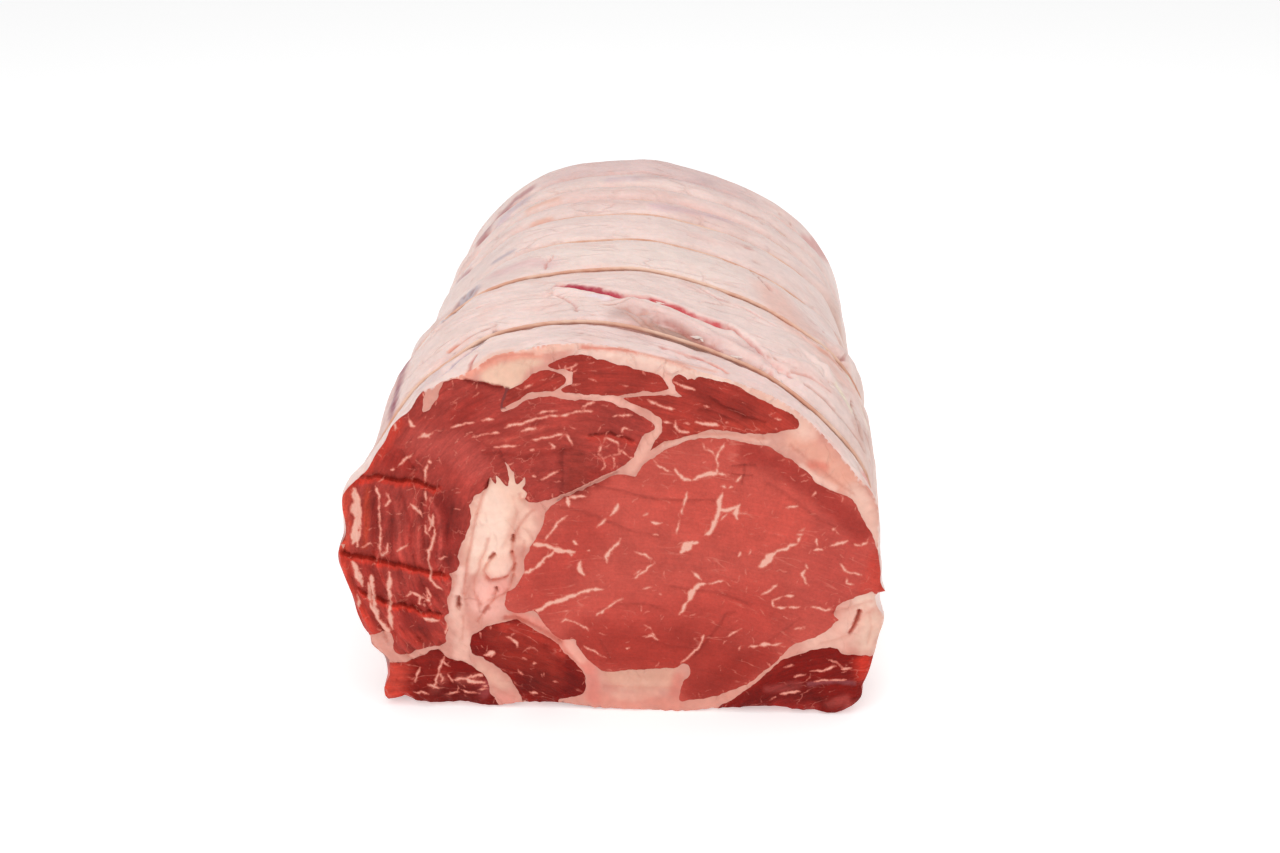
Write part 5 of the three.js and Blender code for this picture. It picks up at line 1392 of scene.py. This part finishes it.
# How far each sinks (less than 0 stands up), its half width, and its line, which is brought onto
# the skin.
SKIN_FOLDS = [
    (2.2, 1.8, SLIT), (0.6, 0.7, SLIT_THREAD), (1.8, 1.4, SECOND_SLIT), (1.3, 1.1, SLIT_TAIL),
    (0.7, 1.8, MEMBRANE_SLIT), (0.8, 0.8, MEMBRANE_EDGE), (-1.7, 2.8, ROLL),
    (0.7, 0.8, CROSS_CREASE), (0.7, 0.7, MEMBRANE_CREASE),
    (0.9, 3.5, [(12, -105, 146), (22, -107, 144), (32, -111, 141)]), (-0.9, 0.9, MEMBRANE_LIP),
    (1.2, 0.8, LEFT_FOLD), (1.3, 1.8, LEFT_HOLLOW), (0.9, 2.6, LEFT_DIP), (0.7, 0.8, LEFT_CUT),
    (1.9, 1.3, TIE_CREVICE), (0.8, 0.9, SALMON_FOLD), (0.8, 0.9, LOWER_SALMON_FOLD),
    (-0.7, 1.2, [(21, -127, 142), (27, -129, 140), (34, -129, 138), (40, -133, 136)]),
    (0.9, 0.9, BACK_CREASE), (1.0, 1.0, SIDE_FOLD), (0.9, 0.8, RIM_FOLD), (-1.1, 1.1, CURL),
    (0.7, 0.7, PATCH_EDGE), (0.9, 4.0, [(-64, -70, 136), (-64, -52, 136)]),
    (0.7, 0.8, [(-70, -83, 131), (-66, -78, 135), (-64, -72, 137)]), (0.8, 0.9, RIGHT_CREASE),
    (0.9, 0.9, LOW_CREASE), (-0.9, 1.6, [(76, -88, 127), (81, -96, 122), (88, -98, 115)]),
    (0.7, 0.8, SLANT_CREASE), (0.6, 0.8, [(66, -84, 130), (74, -92, 125), (80, -104, 118)]),
    (0.7, 0.9, [(-30, -30, 147), (-36, -20, 146), (-44, -14, 143)]), (0.8, 0.8, TOP_CREASE),
    (0.6, 0.7, [(-35, -112, 146), (-28, -116, 147), (-18, -117, 148)]), (0.6, 0.8, FAR_CREASE),
    (0.6, 0.9, [(-21, 44, 147), (-10, 53, 149), (3, 59, 149)]),
    (0.6, 0.9, [(65, 18, 128), (74, 16, 122), (81, 21, 116)]),
    (-1.4, 2.6, [(66, -104, 130), (74, -100, 126), (80, -92, 123)]),
    (-2.0, 8.0, [(86, -44, 112), (92, -34, 104), (97, -30, 92)]),
    (1.3, 4.0, [(86, -60, 116), (92, -62, 106)]), (-1.2, 7.0, [(84, -4, 112), (92, 4, 100)]),
    (-1.2, 8.0, [(82, 46, 112), (88, 56, 102)]), (-1.0, 6.0, [(-78, -48, 122), (-84, -40, 112)]),
    (-1.0, 7.0, [(-76, 24, 122), (-82, 30, 110)]), (0.7, 0.8, NEAR_CREASE),
]

SKIN_MARKS = [
    ((238, 206, 200), 0.8, 40, [(0, -128, 149), (50, -126, 134)]),
    ((243, 219, 210), 0.8, 34, [(-20, -20, 149), (30, -20, 146)]),
    ((232, 196, 188), 0.7, 26, [(-20, 66, 147), (40, 62, 141)]),
    ((222, 190, 186), 0.8, 30, [(-30, 120, 146), (0, 125, 149), (40, 120, 142)]),
    ((222, 184, 170), 0.8, 40, [(96, -110, 80), (98, -40, 80), (96, 60, 84)]),
    ((214, 168, 160), 0.6, 14, [(-84, -120, 104), (-82, -90, 112), (-80, -60, 116)]),
    ((216, 170, 164), 0.6, 13, [(8, -100, 149), (30, -104, 143), (50, -108, 137)]),
    ((238, 182, 166), 0.6, 14, [(60, -20, 133), (70, -66, 126), (84, -84, 112)]),
    ((240, 190, 170), 0.7, 3, [(-50, -136, 137), (-36, -136, 145)]),
    ((240, 214, 206), 0.7, 6, [(-20, -128, 148), (0, -130, 148), (14, -130, 146)]),
    ((222, 192, 190), 0.7, 8, [(-66, -128, 128), (-60, -118, 134)]),
    # The raised roll of membrane: painted shade in the hollow in front of it and darker in that
    # hollow's crease, a painted highlight along its top, and a painted shadow line at its near
    # foot.
    ((204, 168, 160), 0.9, 9, [(4, -100, 149), (18, -105, 146), (32, -110, 141)]),
    ((178, 136, 122), 0.85, 4.8, [(14, -105, 146), (24, -106, 143), (33, -110, 140)], 0.4),
    ((236, 204, 196), 0.9, 3.6, ROLL, 0.5),
    ((188, 124, 110), 0.75, 1.5, [(6, -94, 149), (16, -96, 147), (26, -99, 143),
                                  (38, -105, 139)], 0.2),
    ((206, 146, 130), 0.8, 1.2, MEMBRANE_EDGE, 0.3),
    # Painted shade in the crease of the membrane.
    ((214, 160, 142), 0.7, 1.1, MEMBRANE_CREASE, 0.3),
    ((226, 180, 160), 0.9, 1.1, MEMBRANE_LIP, 0.4),
    ((182, 104, 92), 0.85, 1.9, MEMBRANE_SLIT, 0.2),
    ((226, 168, 160), 0.8, 3.2, SLIT + SECOND_SLIT, 0.3),
    ((190, 54, 74), 1.0, 2.3, SLIT, 0.5),
    ((174, 38, 64), 1.0, 3.6, [(-20, -70, 148), (-13, -75, 148), (-8, -77, 149)], 0.6),
    ((206, 110, 112), 0.85, 1.1, SLIT_THREAD, 0.4),
    ((242, 222, 226), 0.95, 2.0, [(-17, -79, 148), (-11, -82, 149), (-3, -87, 149)], 0.5),
    ((206, 66, 70), 1.0, 2.3, SECOND_SLIT, 0.5),
    # Painted shade along the fold that runs on from the second slit, and in the cross crease and
    # the left fold.
    ((206, 116, 104), 0.8, 1.7, SLIT_TAIL, 0.3),
    ((212, 140, 130), 0.6, 1.1, CROSS_CREASE, 0.3),
    ((176, 112, 92), 0.85, 1.2, LEFT_FOLD, 0.4),
    ((218, 210, 208), 0.9, 3.6, LEFT_DIP, 0.4),
    ((172, 156, 172), 0.9, 1.8, LEFT_HOLLOW, 0.4),
    ((110, 60, 56), 0.9, 1.4, [(-44, -110, 143), (-44, -107, 144)], 0.5),
    ((206, 112, 100), 0.8, 1.3, LEFT_CUT, 0.3),
    ((232, 144, 124), 0.8, 2.2, SALMON_FOLD, 0.3),
    ((214, 92, 80), 0.8, 1.0, SALMON_FOLD, 0.3),
    ((232, 144, 124), 0.8, 2.4, LOWER_SALMON_FOLD, 0.3),
    ((214, 92, 80), 0.8, 1.0, LOWER_SALMON_FOLD, 0.3),
    ((232, 160, 136), 0.7, 1.4, [(4, -136, 147), (16, -136, 143), (28, -135, 139),
                                 (43, -132, 135)], 0.3),
    ((224, 130, 100), 0.7, 1.4, [(-62, -110, 135), (-57, -110, 138), (-53, -110, 140)], 0.3),
    ((226, 134, 108), 0.7, 1.8, [(-68, -118, 129), (-63, -116, 132)], 0.3),
    ((150, 74, 92), 0.9, 6, [(-82, -83, 119), (-82, -98, 117), (-84, -112, 113)], 0.2),
    ((196, 178, 184), 0.95, 7, [(-65, -66, 136), (-63, -54, 136), (-61, -46, 138)], 0.6),
    ((170, 130, 130), 0.8, 1.3, PATCH_EDGE, 0.3),
    ((224, 156, 130), 0.7, 1.4, [(-60, -62, 138), (-57, -50, 140)], 0.3),
    ((164, 70, 72), 0.8, 2.2, [(-69, -78, 132), (-66, -75, 135), (-63, -76, 138)], 0.3),
    ((186, 168, 176), 0.8, 4, [(-56, 7, 136), (-50, 7, 139)], 0.4),
    ((224, 178, 180), 0.5, 9, [(-50, -34, 142), (-40, -30, 145), (-31, -34, 147)]),
    # Painted shade in the crease on the top.
    ((214, 140, 126), 0.7, 1.2, TOP_CREASE, 0.3),
    ((176, 110, 120), 0.7, 4, [(-74, 44, 119), (-78, 48, 114)], 0.2),
    ((180, 110, 112), 0.85, 7, [(-71, 90, 121), (-70, 110, 124), (-62, 120, 131),
                                (-54, 122, 137)], 0.2),
    ((208, 184, 192), 0.7, 7, [(-63, 92, 130), (-60, 95, 132), (-54, 98, 137)], 0.3),
    ((236, 166, 138), 0.6, 4, [(-44, 42, 142), (-37, 44, 144)]),
    ((236, 166, 138), 0.6, 5, [(-48, 73, 141), (-42, 73, 143), (-36, 72, 145)]),
    (BLUE_GREY, 0.5, 6, [(-12, 98, 148), (-3, 98, 149)]),
    ((206, 174, 172), 0.6, 6, [(2, 98, 148), (18, 108, 146), (32, 122, 142)]),
    ((214, 178, 184), 0.6, 7, [(11, 53, 148), (26, 57, 145), (40, 62, 140)]),
    # Painted shade in the crease at the back.
    ((190, 114, 94), 0.85, 1.3, BACK_CREASE, 0.3),
    ((212, 136, 130), 0.7, 9, [(83, 118, 113), (87, 130, 108), (88, 134, 104)], 0.3),
    ((224, 156, 132), 0.8, 5, [(80, -74, 125), (86, -70, 117), (90, -60, 110)], 0.2),
    # Painted shade in the crevice by the second loop and in the folds of the right side and the
    # rim.
    ((184, 104, 92), 0.9, 1.8, TIE_CREVICE, 0.4),
    ((196, 140, 122), 0.7, 1.2, SIDE_FOLD, 0.3),
    ((196, 136, 118), 0.7, 1.2, RIM_FOLD, 0.3),
    ((226, 156, 142), 0.8, 1.4, CURL, 0.3),
    # Painted highlights along the raised ridges of the folds on the right.
    ((244, 228, 204), 0.85, 2, [(78, -87, 122), (82, -98, 118), (87, -106, 110)], 0.4),
    ((240, 224, 204), 0.7, 1.6, [(88, -70, 112), (91, -84, 110), (95, -100, 98)], 0.4),
    ((212, 168, 156), 0.6, 7, [(90, -110, 104), (94, -100, 96), (96, -112, 88)]),
    ((222, 112, 100), 0.8, 4, [(95, -128, 96), (97, -126, 88), (98, -124, 80)]),
    # Painted shade along five creases of the top and the right side.
    ((206, 140, 124), 0.6, 1.2, RIGHT_CREASE, 0.3),
    ((196, 140, 122), 0.7, 1.2, LOW_CREASE, 0.3),
    ((210, 140, 124), 0.6, 1.2, NEAR_CREASE, 0.3),
    ((212, 120, 104), 0.5, 1.2, SLANT_CREASE, 0.3),
    ((206, 130, 116), 0.6, 1.2, FAR_CREASE, 0.3),
    ((214, 72, 58), 0.9, 4, [(-79, -140, 117), (-86, -140, 104), (-95, -140, 92), (-100, -140, 80),
                             (-102, -140, 62), (-98, -140, 46), (-93, -140, 32)], 0.6),
    ((206, 60, 46), 0.9, 8, [(-86, -140, 12), (-82, -140, 2)], 0.6),
    ((186, 60, 48), 0.9, 5, [(100, -140, 66), (103, -140, 56)], 0.6),
    ((170, 44, 38), 0.9, 6, [(100, -140, 24), (97, -140, 12), (90, -140, 2), (60, -140, 1)], 0.6),
]


def on_skin(line, step=3.0):
    """The line in short even steps, each brought onto the skin: it moves along the outward way of
    the nearest skin point until it is level with that point."""
    points = even_steps(line, step, 2)[1]
    nearest = ((points[:, None] - coarse_skin[None]) ** 2).sum(-1).argmin(1)
    way = coarse_ways[nearest]
    return points + way * ((coarse_skin[nearest] - points) * way).sum(-1, keepdims=True)


def wrinkle(dice):
    """A short crease in the skin, about across the roast: it follows the ring from a random start
    and drifts along the roast by a slope and a slow bend."""
    y = FRONT + 4 + (LENGTH - 12) * dice.random() ** 1.5
    run = dice.uniform(7, 34)
    s = np.linspace(0, run, max(3, int(run / 3)))
    drift = dice.normal(0, 0.22) * s + 1.5 * np.sin(s / dice.uniform(5, 12) + dice.uniform(0, 6))
    y = np.clip(y + drift, FRONT + 3, BACK - 6)
    ring, _ = ring_at(y, -0.3)
    top = np.flatnonzero(face_ring[:, 1] > 30)
    column = (dice.choice(top) + s.astype(int)) % len(face_ring)
    lie = y + wander_at(y[:, None], ring)[np.arange(len(s)), column]
    place = ring[np.arange(len(s)), column]
    return upright(place, lie)


# Where the rings of skin lie: close together up to the second loop, wider behind it, and in finer
# steps at both rims and through every groove.
TRIMMED_END = -62
GROOVE_SPAN = 4
at_rim = np.array([0, 0.35, 0.9, 1.7, 2.6])
skin_y = np.concatenate([FRONT + at_rim, np.arange(FRONT + 3.5, TRIMMED_END, 0.98),
                         np.arange(TRIMMED_END, BACK - 3, 3.8), BACK - at_rim[::-1]])
beside = np.array([-3.4, -2.4, -1.7, -1.1, 0, 0.9, 1.6, 2.4, 3.4])
beside_far = np.array([-3.4, -1.8, -1.1, 0, 1.2, 3.4])
skin_y = skin_y[np.abs(skin_y[:, None] - TIES).min(1) > GROOVE_SPAN]
skin_y = np.unique(np.concatenate([skin_y, (TIES[:2, None] + beside).ravel(),
                                   (TIES[2:, None] + beside_far).ravel()]))
rings, ways = ring_at(skin_y, 0.0, GROOVE_DEPTH)
stations, count = rings.shape[:2]
wander = wander_at(skin_y[:, None], rings)
skin = upright(rings, skin_y[:, None] + wander)
flat_skin = skin.reshape(-1, 3)
coarse_skin = skin[::2, ::2].reshape(-1, 3)
coarse_ways = upright(ways[::2, ::2]).reshape(-1, 3)
BACK_ROUNDING = 0.6
WRINKLES = 190
dice = np.random.default_rng(77)
wrinkles = [(dice.uniform(0.15, 0.5), dice.uniform(0.5, 0.8), wrinkle(dice))
            for _ in range(WRINKLES)]
unevenness = (0.6 * grain(flat_skin, 21, 21) + 0.3 * grain(flat_skin, (9, 4, 9), 22)
              + 0.22 * grain(flat_skin, (8, 2.1, 8), 23) + 0.09 * grain(flat_skin, 1.7, 24))
folds = [(sink, half_width, on_skin(line)) for sink, half_width, line in SKIN_FOLDS]
for sink, half_width, line in folds + wrinkles:
    gap = line_gap(flat_skin, line, 5 * half_width)
    unevenness -= sink * np.exp(-(gap / half_width) ** 2)
    unevenness += 0.3 * sink * np.exp(-((gap - 2.6 * half_width) / (1.3 * half_width)) ** 2)
held = smooth_step(skin_y, FRONT, FRONT + 4) * (1 - smooth_step(skin_y, BACK - 4, BACK))
lifted = smooth_step(ways[..., 1], -0.95, -0.4)
to_rim = np.clip(1 - (BACK - skin_y) / at_rim[-1], 0, 1)
rounding = BACK_ROUNDING * (1 - np.sqrt(1 - to_rim**2))
calm = 1 - 0.6 * np.exp(-(np.abs(skin_y[:, None] - TIES).min(1) / 2.6) ** 2)
push = unevenness.reshape(stations, count) * (held * calm)[:, None] * lifted
rings = rings + ways * push[..., None]
rings -= ways * rounding[:, None, None]
rings[..., 1] = np.maximum(rings[..., 1], 0)
skin = upright(rings, skin_y[:, None] + wander)
skin[0, :, 1] = FRONT - cut_relief(rim)
skin[1:5, :, 1] += (skin[0, :, 1] - FRONT) * np.array([0.75, 0.45, 0.2, 0.05])[:, None]


def ring_quads(rows, count):
    """Four-sided faces between neighbouring closed rings of `count` points each."""
    turn, row = np.arange(count), np.arange(rows - 1)[:, None] * count
    ahead = np.roll(turn, -1)
    quads = [row + turn, row + ahead, row + count + ahead, row + count + turn]
    return np.stack(quads, -1).reshape(-1, 4)


skin_quads = ring_quads(stations, count)
dice = np.random.default_rng(90)
seam_edges = np.concatenate([rim_ends] + list(front_loops.values()))
seam_corners, seam_triangles = cut_sheet([seam_edges], crease_points, FACE_SPACING, dice)

# Small torn bits of white membrane that stand up from the skin: both ends of each, and how wide.
TORN_BITS = [
    ((-30, -136, 146), (-26, -137, 147), 0.9), ((-28, -134, 147), (-24, -135, 147), 0.7),
    ((29, -104, 142), (34, -104, 141), 1.3), ((32, -102, 141), (34, -107, 140), 1.0),
    ((44, -111, 137), (49, -112, 136), 1.1), ((47, -108, 137), (47, -113, 136), 0.9),
    ((53, -114, 133), (57, -116, 132), 0.9), ((11, -86, 148), (17, -87, 147), 0.9),
    ((15, -83, 148), (19, -86, 147), 0.7), ((-18, -81, 148), (-8, -84, 149), 1.1),
    ((60, -118, 130), (64, -121, 129), 0.8), ((-63, -112, 135), (-58, -114, 137), 0.7),
    ((-71, -120, 126), (-67, -124, 128), 0.8), ((-84, -128, 108), (-81, -131, 112), 0.9)]


def torn_bit(start, end, width):
    """A thin leaf between two places on the skin: seven flat eight-sided rings, widest in the
    middle of the leaf, that bend up towards its end and close to a point at both ends."""
    line = on_skin([start, end], 0.2)
    t = np.linspace(0, 1, 7)
    spine = line[(t * (len(line) - 1)).astype(int)]
    way = coarse_ways[((coarse_skin - spine[3]) ** 2).sum(-1).argmin()]
    along = (spine[-1] - spine[0]) / np.linalg.norm(spine[-1] - spine[0])
    across = np.cross(way, along)
    turn = np.arange(8) * np.pi / 4
    swell = (np.sin(np.pi * t) * (1 + 0.3 * np.sin(9 * t + width * 7)))[:, None]
    flat = swell * width / 2 * np.cos(turn)
    thick = swell * 0.22 * np.sin(turn)
    up = 0.15 + 0.9 * t[:, None] ** 2
    points = (spine[:, None] + flat[..., None] * (0.8 * across + 0.6 * way)
              + (thick + up)[..., None] * way)
    return points.reshape(-1, 3), ring_quads(7, 8)


bits = [torn_bit(*bit) for bit in TORN_BITS]
bit_count = sum(len(points) for points, _ in bits)

# Between its edges the cut fat is lumpy.
lumps = 0.35 * grain(upright(seam_corners), 3.6, 91) + 0.2 * grain(upright(seam_corners), 1.9, 92)
lumps *= smooth_step(gap_to(seam_corners, seam_edges.reshape(-1, 2), 3), 0.2, 1.8)
# The shells of the fat: points, faces, and 0 for its skin or 1 for its cut.
shells = [(skin.reshape(-1, 3), skin_quads, 0),
          (upright(seam_corners, FRONT - cut_relief(seam_corners) - lumps), seam_triangles, 1)]
back_edges = [skin[-1][:, [0, 2]][loop_edges(count)]]
for ends in front_loops.values():
    loop, edges = np.unique(ends.reshape(-1, 2), axis=0, return_inverse=True)
    edges = edges.reshape(-1, 2)[:, ::-1]
    walls, quads = run_back(loop, edges)
    shells.append((walls.reshape(-1, 3), quads, 1))
    back_edges.append(walls[-1][:, [0, 2]][edges])
back_edges = np.concatenate(back_edges)
back_corners, back_triangles = cut_sheet([back_edges], np.zeros((0, 2)), BACK_SPACING, dice)
shells.append((upright(back_corners, BACK), back_triangles, 1))
shells += [(points, quads, 0) for points, quads in bits]
fat_points = np.concatenate([points for points, _, _ in shells])
cut_points = fat_points[len(flat_skin):-bit_count, [0, 2]]
skin_marks = [(shade, strength, reach, on_skin(line), *crisp)
              for shade, strength, reach, line, *crisp in SKIN_MARKS]
# Painted shade along every wrinkle.
skin_marks += [((204, 138, 120), min(0.75, 1.5 * sink), 1.1 * half_width, line, 0.3)
               for sink, half_width, line in wrinkles]
# The sides, the edges of the bottom and the lip aren't covered: thin membrane over the lean, with
# fat left on it in streaks. Its border runs ragged.
x, y, z = flat_skin.T
bare = (np.where(x < 0, 78, 17) - z) / 10
bare = np.where(z < 6, 0.8, bare)
bare += 0.9 * grain(flat_skin, (20, 34, 20), 52) + 0.6 * grain(flat_skin, (8, 12, 8), 53)
bare += 0.3 * grain(flat_skin, 3.4, 54)
left_fat = grain(flat_skin, (9, 18, 9), 55) + 0.6 * grain(flat_skin, (4, 8, 4), 56)
bare = 0.85 * smooth_step(bare, -0.3, 0.6) * (1 - 0.7 * smooth_step(left_fat, 0.25, 0.8))
darker = smooth_step(grain(flat_skin, (9, 24, 9), 57), -0.6, 0.7)
beneath = LEAN_BENEATH + (LEAN_DARK - LEAN_BENEATH) * darker[:, None]
ground = FAT_WHITE + bare[:, None] * (beneath - FAT_WHITE)
skin_tone = brushed(fat_points[:len(flat_skin)], ground, skin_marks, 31)
skin_tone *= (1 + 0.05 * grain(flat_skin, (13, 7, 13), 58)[:, None]
              + 0.03 * grain(flat_skin, (5, 2.4, 5), 59)[:, None])
pinker = grain(flat_skin, (16, 9, 16), 60) + 0.5 * grain(flat_skin, (5, 3, 5), 61)
pinker = 0.22 * smooth_step(pinker, 0.15, 0.9)
skin_tone += pinker[:, None] * (pigment(236, 170, 156) - skin_tone)
# Painted shadow of each twine loop: a dark band on the near side of its groove, and a little all
# through the groove.
off_tie = skin_y - TIES[np.abs(skin_y[:, None] - TIES).argmin(1)]
groove_shade = np.exp(-((off_tie + 1.5) / 0.75) ** 2) + 0.3 * np.exp(-(off_tie / 1.8) ** 2)
groove_shade = np.repeat(groove_shade, count) * np.clip(0.8 + 0.5 * grain(flat_skin, 9, 51), 0, 1)
skin_tone += groove_shade[:, None] * (GROOVE_SHADE - skin_tone)
tone = np.concatenate([
    skin_tone,
    brushed(cut_points, pigment(*SEAM_PINK), SEAM_MARKS, 33)
    * (1 + 0.05 * grain(upright(cut_points), 7, 93)
       + 0.05 * grain(upright(cut_points), 2.4, 94))[:, None] ** (0.4, 1.0, 1.1),
    np.tile(pigment(234, 212, 202), (bit_count, 1))])
# Every four-sided face of the skin is cut along the diagonal whose two ends are more alike, so
# that a fold or a mark that runs at a slant keeps smooth sides.
look = np.concatenate([push.reshape(-1, 1), 4 * skin_tone], 1)
a, b, c, d = skin_quads.T
along_ac = np.abs(look[a] - look[c]).sum(1) < np.abs(look[b] - look[d]).sum(1)
skin_triangles = np.where(along_ac[:, None], np.stack([a, b, c, a, c, d], -1),
                          np.stack([a, b, d, b, c, d], -1)).reshape(-1, 3)
shells[0] = (shells[0][0], skin_triangles, 0)
starts = np.cumsum([0] + [len(points) for points, _, _ in shells])


def fat_material(name, broad, rough, wrinkle, crack_size, crack):
    """Raw fat: the painted cream and pink with soft mottling, fine cracks between its lobes and
    wrinkles in one direction, waxy and a little translucent."""
    material, tree, surface = new_material(name)
    painted = placed(tree, "Attribute", output="Color", attribute_name="tone")
    place = object_place(tree)
    wrinkled = object_place(tree, wrinkle)
    crooked = bent(tree, wrinkled, 110, 2, (0.008, 0.008, 0.008))
    lobes = placed(tree, "TexVoronoi", {"Vector": crooked, "Scale": crack_size}, "Distance",
                   feature="DISTANCE_TO_EDGE")
    patchy = ramped(tree, mottled(tree, place, 45, 2.4, 200, 0.4), 0.85, 1.35)
    gap = calculated(tree, "MULTIPLY", ramped(tree, lobes, 0.0, 0.09, 1, 0), patchy)
    folds = mottled(tree, wrinkled, 160, 0.3, 620, 0.16)
    colour = tinted(tree, painted, mottled(tree, place, 60, broad, 420, broad))
    colour = tinted(tree, colour, ramped(tree, folds, 0.8, 1.2, 0.95, 1.05))
    height = calculated(tree, "SUBTRACT", folds, calculated(tree, "MULTIPLY", gap, 0.5))
    height = calculated(tree, "ADD", height, mottled(tree, place, 300, 0.25, 1200, 0.15))
    feed(tree, surface, {
        "Base Color": blended(tree, calculated(tree, "MULTIPLY", gap, crack), colour,
                              pigment(206, 128, 108)),
        "Roughness": rough, "Specular IOR Level": 0.4, "Coat Weight": 0.1, "Coat Roughness": 0.25,
        "Subsurface Weight": 0.12, "Subsurface Scale": 0.003,
        "Subsurface Radius": (1.0, 0.5, 0.35),
        "Normal": placed(tree, "Bump", {"Strength": 0.6, "Distance": 0.0012, "Height": height})})
    return material


fat_skin = fat_material("fat_skin", 0.22, 0.42, (0.6, 1.4, 0.6), 90, 0.16)
fat_cut = fat_material("fat_cut", 0.2, 0.4, (1.0, 1.0, 0.8), 120, 0.22)
fat = add_piece(
    "fat", fat_points, [corners + start for start, (_, corners, _) in zip(starts, shells)],
    [fat_skin, fat_cut], {"tone": tone},
    np.concatenate([np.full(len(corners), which) for _, corners, which in shells]))
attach(fat, "root")
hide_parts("fat")

# ---------------------------------------------------------------------------------------------
# The twine: seven loops of butcher's cotton, three plies laid together, pulled tight so that each
# loop lies in its own groove in the fat.

TWINE_DIAMETER = 1.7
TWINE_GAP = 0.6
TWINE_RISE = ((TWINE_DIAMETER / 2 + TWINE_GAP)
              / math.sin(math.atan2(GROOVE_HALF_WIDTH, GROOVE_DEPTH)))
TWINE_LIFT = [1.15, 1.3, 0.75, 0.55, 0.45, 0.45, 0.45]  # the near loops lie less deep in the fat
PLY_TURN = 5.0  # millimetres of twine for one full turn of the plies
PLY_DEPTH = 0.18  # how much of the radius is lost in the hollow between two plies
PLY_SIDES = 12
TWINE_STEP = 0.9
OFF_TABLE = 0.02


def twine_material():
    """Cotton soaked with meat juice: tan with pinkish stains and fine fibres along the plies."""
    material, tree, surface = new_material("twine_cotton")
    place = object_place(tree)
    share = ramped(tree, mottled(tree, place, 45, 1.6, 300, 0.4), 0.7, 1.3)
    fibres = mottled(tree, place, 900, 1.0, 2500, 0.6)
    feed(tree, surface, {
        "Base Color": blended(tree, share, pigment(216, 156, 130), pigment(240, 202, 180)),
        "Roughness": 0.75,
        "Normal": placed(tree, "Bump", {"Strength": 0.4, "Distance": 0.0003, "Height": fibres})})
    return material


twine_cotton = twine_material()


def twine_loop(y, lift):
    """A tube round the ring at y. Its radius swings three times a turn, and the swing walks on
    with the length, so that three plies wind round the loop."""
    ring, out = ring_at([y], TWINE_RISE + lift)
    ring, out = ring[0], out[0]
    closed = np.column_stack([ring, out, y + wander_at(np.array([y]), ring)])
    closed = np.concatenate([closed, closed[:1]])
    steps = np.linalg.norm(np.diff(closed[:, :2], axis=0), axis=1)
    at = np.concatenate([[0], np.cumsum(steps)])
    total = at[-1]
    count = int(total / TWINE_STEP)
    s = np.linspace(0, total, count, endpoint=False)
    x, z, out_x, out_z, lie = [np.interp(s, at, column)[:, None] for column in closed.T]
    turn = np.arange(PLY_SIDES) * 2 * np.pi / PLY_SIDES
    walk = 2 * np.pi * round(total / PLY_TURN) * s / total
    plies = np.abs(np.cos(1.5 * turn + 0.5 * walk[:, None]))
    radius = TWINE_DIAMETER / 2 * (1 - PLY_DEPTH + PLY_DEPTH * plies)
    across = radius * np.cos(turn)
    tube = np.stack([x + out_x * across, lie - radius * np.sin(turn), z + out_z * across], -1)
    tube[..., 2] = np.maximum(tube[..., 2], OFF_TABLE)
    quads = ring_quads(count + 1, PLY_SIDES)[:, [0, 3, 2, 1]] % (count * PLY_SIDES)
    return tube.reshape(-1, 3), quads


for number, (y, lift) in enumerate(zip(TIES, TWINE_LIFT), 1):
    tube, quads = twine_loop(y, lift)
    loop_piece = add_piece(f"twine_{number}", tube, [quads], [twine_cotton], {}, smooth_below=80)
    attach(loop_piece, "root")
    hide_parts(f"twine_{number}")
